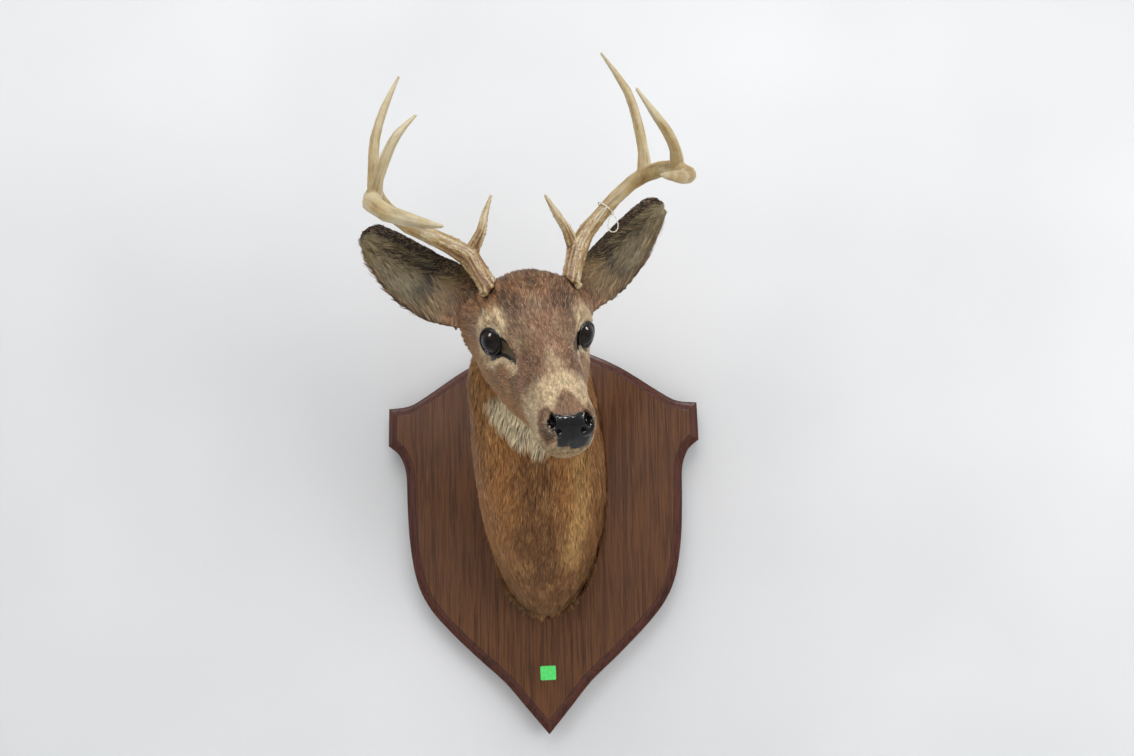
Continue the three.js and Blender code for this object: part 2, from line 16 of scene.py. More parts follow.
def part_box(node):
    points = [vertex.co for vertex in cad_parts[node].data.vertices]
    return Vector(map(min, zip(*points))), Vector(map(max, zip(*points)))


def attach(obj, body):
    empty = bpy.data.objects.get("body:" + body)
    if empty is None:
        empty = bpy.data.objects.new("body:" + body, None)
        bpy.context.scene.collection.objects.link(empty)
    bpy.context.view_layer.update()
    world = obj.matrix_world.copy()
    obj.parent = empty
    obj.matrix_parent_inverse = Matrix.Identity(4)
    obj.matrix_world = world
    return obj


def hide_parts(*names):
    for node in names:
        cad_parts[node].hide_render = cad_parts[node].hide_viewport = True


bl_info = {
    "name": "Deer Shoulder Mount",
    "version": (1, 0, 0),
    "blender": (4, 5, 0),
    "location": "View3D > Sidebar > Deer Mount",
    "description": "Coat, skin, antlers, eyes and board of a mounted buck's head",
    "category": "Add Mesh",
}

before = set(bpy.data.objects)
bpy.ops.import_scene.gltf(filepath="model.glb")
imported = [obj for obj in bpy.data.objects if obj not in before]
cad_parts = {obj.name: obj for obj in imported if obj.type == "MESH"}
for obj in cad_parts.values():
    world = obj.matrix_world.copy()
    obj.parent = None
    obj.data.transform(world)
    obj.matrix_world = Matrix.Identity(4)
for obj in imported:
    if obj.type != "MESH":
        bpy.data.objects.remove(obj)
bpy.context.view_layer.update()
MM = 0.001
SIDES = {1: "left", -1: "right"}  # the animal's own left and right, by the sign of their direction

# ---------------------------------------------------------------- sizes of the animal

# How far the head is turned, nods and leans, in degrees, and the middle between its eyes. Its own axes run
# forward along the bridge, out to its left and up from the bridge.
HEAD = {"turn": 15.67, "nod": 42.34, "lean": 6.9, "eyes": (0.1, -309.3, 211.7)}
# Where the neck meets the head, and the ends of the neck's middle line
NECK_CUT = {"through": (0, -214, 205), "normal": (0.1, -0.78, 0.62)}
NECK_AXIS = ((0, -20, 52), (-12, -235, 225))
# In the head's axes: the root and tip of each ear, and the way its cup faces
EAR = {
    "root": (-62, 46, 8),
    "left": {"tip": (-158, 188, 79), "faces": (0.64, 0.52, 0.54)},
    "right": {"tip": (-151, 187, 66), "faces": (0.8, 0.25, 0.55)},
}
# In the head's axes, given for the left eye
EYE = {
    "at": (0, 47.5, 2),
    "radius": 18,
    "looks": (0.58, 0.806, 0.116),  # straight out of the socket
    "opens": {"right": (0.58, 0.806, 0.116), "left": (0.72, 0.69, 0.10)},  # midway between the lids
    "opening": 54,  # degrees from there to the lids
    "lid": 19.3,  # radius of the lids' outer face
    "pupil": 5.2,  # half height of the level oval
}
# The corner slit in front of each eye, forward and up from the middle of the eye, and its half width
SLIT_MIDDLE = {
    1: [(16, 2), (32, 9), (46, 13), (60, 10)],
    -1: [(15, 1.5), (26, 3), (38, 3.5), (49, 3.5)],
}
SLIT_HALF = [9.8, 7.6, 5.2, 1.6]
# Lines along the head: the mouth forward and up, and each nostril forward, out and up with its half width
MOUTH = [(186, -30.5), (172, -34), (150, -37), (122, -42), (100, -47)]
NOSTRIL = [(164.5, 18.5, 10, 2.8), (167, 18, 6.5, 5.0), (173, 16.5, 2, 5.0), (178.5, 13, -1, 2.6)]
NOSTRIL_DRAW = (-4.8, 0, -2.8)  # how far each nostril is drawn into the head
THROAT = [(-44, -219, 146), (-24, -213, 126), (-2, -208, 110)]  # middle of the pale patch along the jaw

# Spacing of each remeshed surface, and how far its parts are swelled first so that they run together
SKIN_MESH = {"voxel": 2.35, "swell": 0.45}
ANTLER_MESH = {"voxel": 1.35, "swell": 0.35}

# Outline of the shield's right half, as x and z
BOARD = {
    "thickness": 20,
    "point": (0, -254),
    "side": [(30, -218), (56, -187), (93, -153), (132, -114), (154, -86), (168, -54),
             (176, -8), (179, 42), (180, 80), (184, 98), (191, 111)],
    "ear_low": (203, 121),
    "ear_high": (202, 170),
    "shoulder": [(176, 173), (154, 185), (102, 219), (56, 240), (18, 250)],
    "peak": (0, 252),
}
BOARD_FACE = -BOARD["thickness"]  # where the neck meets the board, in y
HIDE_GAP = 0.35  # between the hide and the board

# Steps of the moulded edge, from the outline inwards: width and rise of each
MOULDING = [(0.4, 1.1), (0.9, 0.9), (1.5, 0.3), (0.3, 0.8), (1.6, 0.5), (1.8, 0.9), (1.7, 1.3),
            (1.5, 1.5), (1.0, 1.1), (0.7, 0.4), (0.6, 0.2)]
CORNER_ROOM = 11.2  # no other outline point is nearer than this to a corner

# Middle lines of the antlers: x, y, z and radius, from the skull or the beam to the tip
ANTLERS = {
    "left": {
        "beam": [
            (33, -295, 260, 11.3), (38, -291, 275, 11.3), (43, -283, 299, 11), (49, -273, 324, 12.4),
            (59, -267, 343, 9.6), (76, -266, 364, 8.5), (94, -265, 384, 8.5), (113, -268, 401, 8.8),
            (129, -277, 409, 9.8), (147, -300, 409, 9.4), (164, -324, 403, 9.8), (176, -339, 391, 10),
            (168, -366, 382, 8), (158, -395, 375, 6.4), (148, -422, 369, 4.6), (138, -449, 363, 1.6),
        ],
        "brow": [(44, -273, 322, 8.5), (36, -283, 342, 6.2), (25, -285, 361, 4.8), (11, -280, 386, 1.6)],
        "second": [
            (129, -277, 411, 9.5), (128, -279, 435, 6.8), (122, -285, 471, 6), (111, -294, 506, 5.2),
            (80, -307, 549, 1.5),
        ],
        "third": [
            (165, -324, 404, 9.5), (162, -344, 419, 6.8), (153, -358, 436, 6.4), (140, -367, 453, 5.2),
            (117, -376, 483, 1.6),
        ],
    },
    "right": {
        "beam": [
            (-43, -310, 253, 11.3), (-52, -308, 266, 11.5), (-66, -303, 291, 11.3), (-78, -297, 311, 12.6),
            (-99, -297, 324, 10.4), (-123, -302, 335, 9.4), (-147, -309, 346, 9), (-169, -320, 361, 9.2),
            (-182, -340, 377, 10.2), (-181, -364, 367, 10.4), (-179, -388, 359, 10.8), (-178, -406, 349, 11),
            (-159, -429, 332, 9.8), (-136, -449, 320, 8), (-114, -472, 309, 5.6), (-94, -484, 303, 1.8),
        ],
        "brow": [(-75, -298, 316, 8.5), (-63, -304, 338, 6), (-59, -302, 356, 4.6), (-51, -294, 384, 1.5)],
        "second": [
            (-181, -339, 381, 9.5), (-182, -344, 415, 6.6), (-180, -346, 441, 5.9), (-169, -350, 474, 4.6),
            (-152, -349, 511, 1.5),
        ],
        "third": [
            (-177, -390, 364, 9.5), (-171, -405, 377, 7.2), (-160, -417, 401, 6.2), (-147, -422, 422, 5),
            (-127, -419, 445, 1.5),
        ],
    },
}
ANTLER_PARTS = ("base", "brow_tine", "beam", "second_tine", "third_tine", "tip")

# Size of the paper label, and how far it is turned in degrees
LABEL = {"width": 20, "height": 18, "thickness": 0.18, "turn": -1.3}

# A ring of string round the left beam, with a knot on it and a loop that hangs from the knot
STRING = {
    "radius": 0.65,
    "ring": {"middle": (82.75, -265.38, 371.43), "axis": (0.6435, 0.0519, 0.7636), "radius": 11.05},
    "knot": {"turn": 66, "radius": 1.9},
    "loop": {"width": 15.5, "drop": 24, "forward": 3},
    "tails": {"turn": 8, "reach": [(-15, -6, -17), (-12, -8, -18)], "bow": [(-2, -1, 1), (1.5, -1.5, 1.5)]},
}

# Where the camera stands in metres, how it is turned in degrees, and its lens
CAMERA = {"place": (0.0325, -2.2286, -0.1056), "tilt": 98, "roll": -1.28, "lens": 53.97}
ROOM = {"size": 7, "wall": 0.012, "floor": -1.45}  # metres; the wall stands just behind the board


def srgb(hex_colour):
    """Linear red, green and blue of an sRGB hex value."""
    parts = [int(hex_colour[i:i + 2], 16) / 255 for i in (0, 2, 4)]
    return tuple(c / 12.92 if c <= 0.04045 else ((c + 0.055) / 1.055) ** 2.4 for c in parts)


# ---------------------------------------------------------------- sums on arrays of points


def unit(v):
    """Vectors at length 1."""
    v = np.asarray(v, float)
    return v / np.maximum(np.linalg.norm(v, axis=-1, keepdims=True), 1e-12)


def step(low, high, x):
    """0 below low, 1 above high, smooth between; high may be the smaller."""
    t = np.clip((x - low) / (high - low), 0, 1)
    return t * t * (3 - 2 * t)


def mix(a, b, share):
    """a where share is 0 and b where it is 1; either may be a number or a colour for each point."""
    share = np.asarray(share)
    if share.ndim == 1 and (3,) in (np.shape(a)[-1:], np.shape(b)[-1:]):
        share = share[:, None]
    return np.asarray(a) * (1 - share) + np.asarray(b) * share


def layered(values, *layers):
    """Values with those of each layer mixed over them by its share, one after another."""
    for value, share in layers:
        values = mix(values, value, share)
    return values


def lattice(cells, seed):
    """A random number from 0 to 1 for each whole-number cell."""
    x, y, z = (cells[..., k].astype(np.int64) for k in range(3))
    h = (x * 73856093) ^ (y * 19349663) ^ (z * 83492791) ^ (seed * 2654435761)
    h = (h ^ (h >> 13)) * 1274126177 & 0xFFFFFFFF
    h = (h ^ (h >> 16)) * 2246822519 & 0xFFFFFFFF
    return ((h ^ (h >> 15)) & 0xFFFFFF) / 0xFFFFFF


def noise(points, size, seed):
    """Smooth noise from -1 to 1 with features about size across."""
    p = points / size
    cell = np.floor(p)
    f = p - cell
    f = f * f * (3 - 2 * f)
    total = 0
    for corner in np.ndindex(2, 2, 2):
        weight = np.prod(np.where(corner, f, 1 - f), axis=-1)
        total = total + weight * lattice(cell + corner, seed)
    return total * 2 - 1


def nearest_lock(points, size, seed):
    """The middle of the lock that each point belongs to, and a random number for the lock."""
    p = points / size
    cell = np.floor(p)
    best = np.full(len(p), np.inf)
    middle = np.zeros_like(p)
    share = np.zeros(len(p))
    for shift in np.ndindex(3, 3, 3):
        at = cell + np.array(shift) - 1
        jitter = np.stack([lattice(at, seed + k) for k in range(3)], axis=-1)
        distance = ((at + jitter - p) ** 2).sum(-1)
        near = distance < best
        best = np.where(near, distance, best)
        middle[near] = (at + jitter)[near]
        share[near] = lattice(at, seed + 3)[near]
    return middle * size, share


def along_line(points, line):
    """Distance of each point from a line of points, and how far along it the nearest place is."""
    line = np.asarray(line, float)
    best = np.full(len(points), np.inf)
    place = np.zeros(len(points))
    for i in range(len(line) - 1):
        leg = line[i + 1] - line[i]
        t = np.clip((points - line[i]) @ leg / max(leg @ leg, 1e-9), 0, 1)
        distance = np.linalg.norm(points - line[i] - t[:, None] * leg, axis=-1)
        near = distance < best
        best = np.where(near, distance, best)
        place = np.where(near, (i + t) / (len(line) - 1), place)
    return best, place


def off_line(points, line):
    """Distance of each point from a line of points."""
    return along_line(points, line)[0]


def blob(points, middle, reach):
    """1 at the middle, falling to 0 about 1.5 reaches away."""
    return np.exp(-(((points - np.array(middle)) / np.array(reach)) ** 2).sum(-1))


# ---------------------------------------------------------------- the animal's own axes


def head_axes():
    """Directions forward, out to the left and up from the head, as rows in the frame."""
    turn, nod, lean = (math.radians(HEAD[k]) for k in ("turn", "nod", "lean"))
    forward = np.array([math.sin(turn) * math.cos(nod), -math.cos(turn) * math.cos(nod), -math.sin(nod)])
    level = np.array([math.cos(turn), math.sin(turn), 0])
    above = np.cross(forward, level)
    above *= np.sign(above[2])
    left = level * math.cos(lean) + above * math.sin(lean)
    up = above * math.cos(lean) - level * math.sin(lean)
    return np.array([forward, left, up])


HEAD_AXES = head_axes()
HEAD_AT = np.array(HEAD["eyes"])


def in_head(points):
    """Forward, out to the left and up from the middle between the eyes."""
    return (points - HEAD_AT) @ HEAD_AXES.T


def folded(p):
    """Places in the head's axes with its right side laid on its left."""
    return np.stack([p[:, 0], np.abs(p[:, 1]), p[:, 2]], axis=1)


def from_head(points):
    """Places in the frame of points in the head's axes."""
    return np.asarray(points, float) @ HEAD_AXES + HEAD_AT


def sided(p, side):
    """A place or direction given for the left, on either side."""
    return np.array([p[0], p[1] * side, p[2]], float)


def eye_axes(side, looks=None):
    """Eye's middle, its outward direction, and forward and up across it, in the frame."""
    looks = unit(sided(looks or EYE["looks"], side))
    front = unit(np.array([1, 0, 0]) - looks[0] * looks)
    up = np.cross(looks, front) * side
    up = up if up[2] > 0 else -up
    rows = np.array([looks, front, up]) @ HEAD_AXES
    return from_head(sided(EYE["at"], side)), rows


def lid_axes(side):
    """The same, for the middle of the opening between the lids."""
    return eye_axes(side, EYE["opens"][SIDES[side]])


def eye_place(points, rows, at):
    """Points from the eye's middle, their distance from it and their angle off its axis."""
    local = (points - at) @ rows.T
    r = np.linalg.norm(local, axis=1)
    angle = np.degrees(np.arccos(np.clip(local[:, 0] / np.maximum(r, 1e-6), -1, 1)))
    return local, r, angle


def slit_place(local, side):
    """Distance of places across the eye from the line of its corner slit, and the slit's half width there."""
    away, along = along_line(local[:, 1:], SLIT_MIDDLE[side])
    return away, np.interp(along * (len(SLIT_HALF) - 1), range(len(SLIT_HALF)), SLIT_HALF)


def nostril_place(q):
    """Distance of folded places from the line of the nostril, and the nostril's half width there."""
    table = np.array(NOSTRIL)
    away, along = along_line(q, table[:, :3])
    return away, np.interp(along * (len(table) - 1), range(len(table)), table[:, 3])


def ear_axes(side):
    """Ear's root, length, and directions along it, across to its upper edge and out of its cup."""
    shape = EAR[SIDES[side]]
    root = np.array(EAR["root"], float)
    reach = np.array(shape["tip"], float) - root
    length = np.linalg.norm(reach)
    axis = reach / length
    faces = np.array(shape["faces"], float)
    faces = unit(faces - faces @ axis * axis)
    upper = np.cross(faces, axis)
    upper = upper if upper[2] > 0 else -upper
    flip = np.array([1, side, 1])
    rows = np.array([axis * flip, upper * flip, faces * flip]) @ HEAD_AXES
    return from_head(root * flip), length, rows


def in_ear(points, side):
    """Share of the way to the tip, distance toward the upper edge, and distance out of the cup."""
    root, length, rows = ear_axes(side)
    local = (points - root) @ rows.T
    local[:, 0] /= length
    return local


def ear_share(points, side):
    """1 on an ear, 0 on the head."""
    local = in_ear(points, side)
    return step(0.16, 0.3, local[:, 0])


def before_neck(points):
    """Distance from the cut between neck and head, on the head's side of it."""
    return (points - np.array(NECK_CUT["through"])) @ unit(NECK_CUT["normal"])


def neck_share(points):
    """1 on the neck, 0 on the head."""
    return step(22, -22, before_neck(points))


def neck_top(points):
    """1 where the neck meets the head, 0 a hand's breadth below."""
    return step(-75, -10, before_neck(points))


def beside_board(points):
    """1 against the board, 0 further from it."""
    return step(-34, -26, points[:, 1])


def hem_share(points):
    """1 on the loose edge of the hide, round the lower part of the neck beside the board."""
    return neck_share(points) * beside_board(points) * step(-20, -45, points[:, 2])


def bib_share(points):
    """1 on the pale patch along the jaw."""
    away = off_line(points, THROAT)
    return step(26, 12, away + 5 * noise(points * np.array([1, 0.6, 0.3]), 6, 23))


# ---------------------------------------------------------------- meshes


def added(name, data):
    """A new object in the scene."""
    one = bpy.data.objects.new(name, data)
    bpy.context.scene.collection.objects.link(one)
    return one


def link_piece(name, mesh, material, nodes=()):
    """Adds a finished mesh to the scene, riding with the mount."""
    piece = added(name, mesh)
    for one in material if isinstance(material, (list, tuple)) else [material]:
        mesh.materials.append(one)
    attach(piece, "root")
    if nodes:
        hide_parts(*nodes)
    return piece


def smooth_faces(mesh):
    """Shades every face smooth."""
    mesh.polygons.foreach_set("use_smooth", np.ones(len(mesh.polygons), bool))
    mesh.update()


def read(items, key, width, kind=np.float32):
    """A row of numbers for each point, edge or triangle of a mesh."""
    flat = np.empty(len(items) * width, kind)
    items.foreach_get(key, flat)
    return flat.reshape(-1, width)


def points_of(mesh):
    """Places of a mesh's points, in millimetres."""
    return read(mesh.vertices, "co", 3).astype(float) / MM


def set_points(mesh, points):
    """Moves a mesh's points to places in millimetres."""
    mesh.vertices.foreach_set("co", (points * MM).astype(np.float32).ravel())
    mesh.update()


def normals_of(mesh):
    """Directions in which a mesh's points face."""
    return read(mesh.vertex_normals, "vector", 3).astype(float)


def edges_of(mesh):
    """Pairs of points that edges join."""
    return read(mesh.edges, "vertices", 2, np.int32)


def as_mesh(work, name):
    """The mesh of a bmesh, which is freed."""
    mesh = bpy.data.meshes.new(name)
    work.to_mesh(mesh)
    work.free()
    return mesh


def relax(points, edges, rounds, share=1.0):
    """Evens out a surface and keeps its volume; share is how much each point takes part."""
    count = np.bincount(edges.ravel(), minlength=len(points))
    share = np.broadcast_to(share, len(points))
    a, b = edges.T
    for strength in (0.5, -0.53) * rounds:
        pull = np.stack(
            [np.bincount(a, points[b, k], len(points)) + np.bincount(b, points[a, k], len(points))
             for k in range(3)], axis=1)
        points = points + (pull / count[:, None] - points) * (strength * share)[:, None]
    return points


def cad_copy(nodes, swell):
    """One mesh of copies of CAD nodes, each grown by swell so that neighbours touch."""
    whole = bmesh.new()
    for name in nodes:
        part = bmesh.new()
        part.from_mesh(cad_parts[name].data)
        bmesh.ops.remove_doubles(part, verts=part.verts, dist=1e-5)
        part.normal_update()
        moves = [v.normal * swell * MM for v in part.verts]
        for v, move in zip(part.verts, moves):
            v.co += move
        copy = as_mesh(part, "copy")
        whole.from_mesh(copy)
        bpy.data.meshes.remove(copy)
    return as_mesh(whole, "joined")


def run_together(nodes, spacing):
    """One closed skin over copies of CAD nodes."""
    carrier = added("carrier", cad_copy(nodes, spacing["swell"]))
    modifier = carrier.modifiers.new("skin", "REMESH")
    modifier.mode = "VOXEL"
    modifier.voxel_size = spacing["voxel"] * MM
    return applied(carrier)


def applied(carrier):
    """The carrier's mesh with its modifiers, and the carrier taken away."""
    graph = bpy.context.evaluated_depsgraph_get()
    made = bpy.data.meshes.new_from_object(carrier.evaluated_get(graph))
    bpy.data.objects.remove(carrier)
    return made


def tube(points, radii, closed=False, sides=8):
    """A mesh tube along points, through a curve."""
    curve = bpy.data.curves.new("tube", "CURVE")
    curve.dimensions = "3D"
    curve.bevel_depth = MM
    curve.bevel_resolution = max(0, sides // 2 - 2)
    curve.use_fill_caps = not closed
    curve.twist_mode = "MINIMUM"
    spline = curve.splines.new("POLY")
    spline.points.add(len(points) - 1)
    for place, p, r in zip(spline.points, points, radii):
        place.co = (p[0] * MM, p[1] * MM, p[2] * MM, 1)
        place.radius = r
    spline.use_cyclic_u = closed
    made = applied(added("tube", curve))
    bpy.data.curves.remove(curve)
    return made


def spline_points(points, per_leg):
    """Smooth points through given ones."""
    p = np.asarray(points, float)
    out = []
    for i in range(len(p) - 1):
        a, b, c, d = p[max(i - 1, 0)], p[i], p[i + 1], p[min(i + 2, len(p) - 1)]
        for t in np.arange(per_leg) / per_leg:
            out.append(0.5 * ((2 * b) + (c - a) * t + (2 * a - 5 * b + 4 * c - d) * t * t
                              + (3 * b - a - 3 * c + d) * t ** 3))
    return np.array([*out, p[-1]])


def join(meshes):
    """One mesh of several."""
    whole = bmesh.new()
    for mesh in meshes:
        whole.from_mesh(mesh)
    return as_mesh(whole, "joined")


def put(mesh, name, values):
    """Stores a number or a colour on each point."""
    values = np.asarray(values, np.float32)
    if values.ndim == 1:
        layer = mesh.attributes.new(name, "FLOAT", "POINT")
        layer.data.foreach_set("value", values)
        return
    layer = mesh.attributes.new(name, "FLOAT_COLOR", "POINT")
    full = np.ones((len(values), 4), np.float32)
    full[:, :3] = values
    layer.data.foreach_set("color", full.ravel())


# ---------------------------------------------------------------- markings

# Hair from nose to hem, then the ears, then bare skin
COLOURS = {
    "face": "8f664b",
    "crown": "a87243",
    "crown_dark": "492a1a",
    "grizzle": "c2a580",
    "strip": "764833",
    "bridge": "5b3a22",
    "cream": "d6bf98",
    "muzzle": "815a3e",
    "cheek": "996a38",
    "shade": "6c553c",
    "jaw": "a58c68",
    "throat": "e8d9b4",
    "neck": "a56e3b",
    # the next is painted shade on the neck; the one after it is pale neck hair that also gives a painted
    # highlight
    "neck_painted_shade": "6c4524",
    "neck_pale_and_highlight": "c69a5e",
    "nape": "7d5a38",
    "hem": "c4a677",
    "ear_out": "7a5c3c",
    "ear_in": "695a39",
    "ear_dark_and_hollow_shade": "322614",
    "ear_fold_shade": "241a10",
    "ear_root": "a1855a",
    "ear_fan": "9b8d69",
    "ear_rim": "2b1b11",
    "nose": "111112",
    "wing": "5f4d40",
    "lid": "14100e",
    "slit": "57472f",
    "lip": "2a211c",
}


def colour(name):
    """Linear values of a marking's colour."""
    return np.array(srgb(COLOURS[name]))


def paint(base, name, share):
    """The base with a share of a named colour over it."""
    return mix(base, colour(name), share)


def face_markings(points):
    """Colour of the hair at points on the head."""
    p = in_head(points)
    f, v, u = p.T
    q = folded(p)
    o = q[:, 1]
    wander = noise(points, 15, 11)
    fine = noise(points, 4.5, 12)
    streak = noise(np.stack([f * 0.28, v, u * 0.6], axis=1), 3.2, 13)

    def broken(base, gain, most=1):
        """A share broken up by streaks of hair."""
        return np.clip(base + gain * streak, 0, most)

    c = mix(colour("face"), colour("cheek"), step(0, -40, u + 7 * wander))
    c = paint(c, "neck", 0.6 * step(-34, -62, u + 0.25 * (40 - f) + 6 * wander))
    # salt-and-pepper forehead, with a paler path up its middle
    brow = step(-40, -8, f) * step(8, 22, u) * step(74, 48, f)
    c = paint(c, "grizzle", broken(0.16, 0.7, 0.8) * brow)
    path = step(11, 2, np.abs(v + 7 - 0.06 * f) + 4 * wander)
    path = path * step(-44, -18, f) * step(30, -2, f) * step(20, 34, u)
    c = paint(c, "grizzle", path * broken(0.55, 0.6))
    # reddish crown that comes down over each brow
    crown = step(4, -30, f - 0.10 * o + 8 * wander) * step(6, 24, u)
    c = paint(c, "crown", 0.85 * crown)
    c = paint(c, "crown_dark", broken(0.42, 1.1, 0.9) * crown)
    arc = off_line(q, [(6, 12, 45), (-6, 26, 42), (-22, 38, 36), (-34, 46, 26)])
    c = paint(c, "crown_dark", 0.75 * step(15, 4, arc + 4 * wander) * broken(0.85, 1))
    c = paint(c, "crown_dark", 0.95 * blob(q, (5, 31, 40), (27, 14, 13)) * broken(0.8, 0.6))
    c = c * (1 - 0.22 * blob(q, (5, 31, 40), (24, 13, 13)))[:, None]
    c = paint(c, "nape", step(-66, -92, f))
    strip = step(15, 5, np.abs(v + 3) + 3 * wander) * step(8, 26, f) * step(100, 84, f) * (u > 0)
    c = paint(c, "strip", 0.75 * strip * broken(0.75, 1))
    c = paint(c, "cream", 0.8 * blob(q, (40, 31, 26), (15, 9, 9)) * broken(0.8, 0.6))
    # bridge darkened along each side, with a spot at the end of each line
    line = off_line(q, [(30, 30, 27), (60, 24, 25), (84, 20, 19), (100, 22, 11), (110, 26, 4)])
    c = paint(c, "bridge", 0.85 * step(19, 3, line + 5 * wander) * broken(0.8, 0.6))
    spot = off_line(q, [(74, 41, -7), (84, 40, -24)])
    c = paint(c, "bridge", 0.62 * step(16, 4, spot + 4 * wander))
    c = paint(c, "shade", 0.5 * blob(q, (36, 54, -27), (22, 16, 14)))
    # diffuse pale blaze that widens into the band round the muzzle
    spread = 3 + 0.17 * np.clip(f - 50, 0, 70)
    blaze = step(spread + 7, spread * 0.35, np.abs(v - 2) + 3 * wander)
    blaze = 0.55 * blaze * step(38, 92, f + 6 * wander) * step(-4, 10, u)
    c = paint(c, "cream", blaze * broken(0.75, 0.7))
    rear = 112 + 0.22 * np.clip(u + 8, -50, 12) + 4 * wander
    band = step(rear - 16, rear + 4, f)
    c = paint(c, "cream", 0.86 * band * step(-46, -20, u) * broken(0.9, 0.4))
    crack = off_line(p, [(124, -16, 13), (129, -6, 16), (131, 4, 17), (129, 12, 15)])
    c = paint(c, "bridge", 0.6 * step(1.4, 0.5, crack + 0.8 * fine))
    # brown triangle above the nose, and the brown ring behind each nostril
    reach = 1 + 0.50 * np.clip(f - 134, 0, 40)
    patch = step(131, 138, f + fine) * step(reach + 4, reach - 1, np.abs(v - 1)) * step(-4, 4, u)
    c = paint(c, "muzzle", 0.92 * patch)
    nostril = off_line(q, [(160, 25, 6), (166, 24, -4), (172, 22, -12)])
    ring = step(13, 6, nostril + 2 * fine) * step(148, 154, f)
    c = paint(c, "muzzle", 0.85 * ring)
    c = paint(c, "bridge", 0.7 * ring * step(9, 3, nostril))
    # pale lips, chin and jaw
    low = step(-20, -27, u + 2 * fine) * step(118, 136, f)
    c = paint(c, "jaw", 0.8 * low)
    c = paint(c, "jaw", 0.9 * step(-50, -66, u + 0.18 * (80 - f) + 4 * wander) * step(20, 70, f))
    # pale rings round the eyes, widest above their outer corners
    for side in SIDES:
        at, rows = eye_axes(side)
        local = (points - at) @ rows.T
        away = np.hypot(local[:, 1], local[:, 2])
        turn = np.arctan2(local[:, 2], local[:, 1])
        wide = 9 + 6.5 * np.cos(turn - 1.35) ** 2 * (local[:, 2] > 0) + 3.5 * np.cos(2 * (turn + 0.9))
        ring = step(17 + wide + 9, 17 + wide - 5, away + 3 * wander) * step(-8, 4, local[:, 0])
        c = paint(c, "cream", 0.95 * ring * broken(0.9, 0.5))
        slit, _ = slit_place(local, side)
        c = paint(c, "cream", 0.7 * step(17, 9, slit) * (local[:, 0] > 0) * (local[:, 2] < 4))
    # dark roots of the ears
    for side in SIDES:
        local = in_ear(points, side)
        root = step(0.42, 0.12, np.abs(local[:, 0] - 0.08))
        root = root * step(20, 34, local[:, 1] + 12 * (local[:, 0] > 0.05))
        c = paint(c, "crown_dark", 0.5 * root)
    return c * (1 + 0.16 * fine + 0.10 * streak)[:, None]


def neck_markings(points):
    """Colour of the hair on the neck, with painted shade low down, on its right side and down its middle, and
    a painted highlight down its left side.
    """
    wander = noise(points, 30, 21)
    streak = noise(points * np.array([1, 0.6, 0.22]), 9, 22)
    fine = noise(points * np.array([1, 0.8, 0.3]), 3.5, 24)
    x, y, z = points.T
    # painted shade: the neck darkens toward the bottom, where it turns under away from the light above
    c = mix(colour("neck"), colour("neck_painted_shade"), step(20, -95, z + 22 * wander) * 0.7)
    # painted shade on the upper part of the neck's right side
    c = paint(c, "neck_painted_shade", 0.45 * step(-46, -80, x + 8 * wander) * step(20, 120, z))
    # painted shadow down the middle of the neck, under the chin
    middle = off_line(points, [(-6, -200, 70), (-8, -165, 10), (2, -120, -45)])
    c = paint(c, "neck_painted_shade", 0.8 * step(40, 10, middle + 7 * wander))
    # painted highlight: a pale stripe down the neck's left side, where the light falls; the fine pale streaks
    # after it are the hair's own
    pale = off_line(points, [(56, -185, 85), (50, -160, 30), (34, -125, -25)])
    c = paint(c, "neck_pale_and_highlight", 0.8 * step(30, 4, pale + 7 * streak) * step(-62, -30, z))
    c = paint(c, "neck_pale_and_highlight", np.clip(0.25 * streak + 0.25 * fine, 0, 1))
    c = paint(c, "cheek", 0.5 * neck_top(points))
    # the nape and the back half are greyer
    behind = (points - np.array(NECK_AXIS[0])) @ unit(np.array([0, -0.62, -0.78]))
    c = paint(c, "nape", 0.8 * step(-20, -75, behind + 10 * wander))
    c = paint(c, "throat", 0.92 * bib_share(points))
    hem = step(-31, -22, y) * step(-10, -50, z) * np.where(x < 0, 1, 0.6) * step(-104, -88, z)
    c = paint(c, "hem", 0.95 * np.clip(hem, 0, 1) * np.clip(0.7 + streak, 0, 1))
    return c * (1 + 0.10 * fine)[:, None]


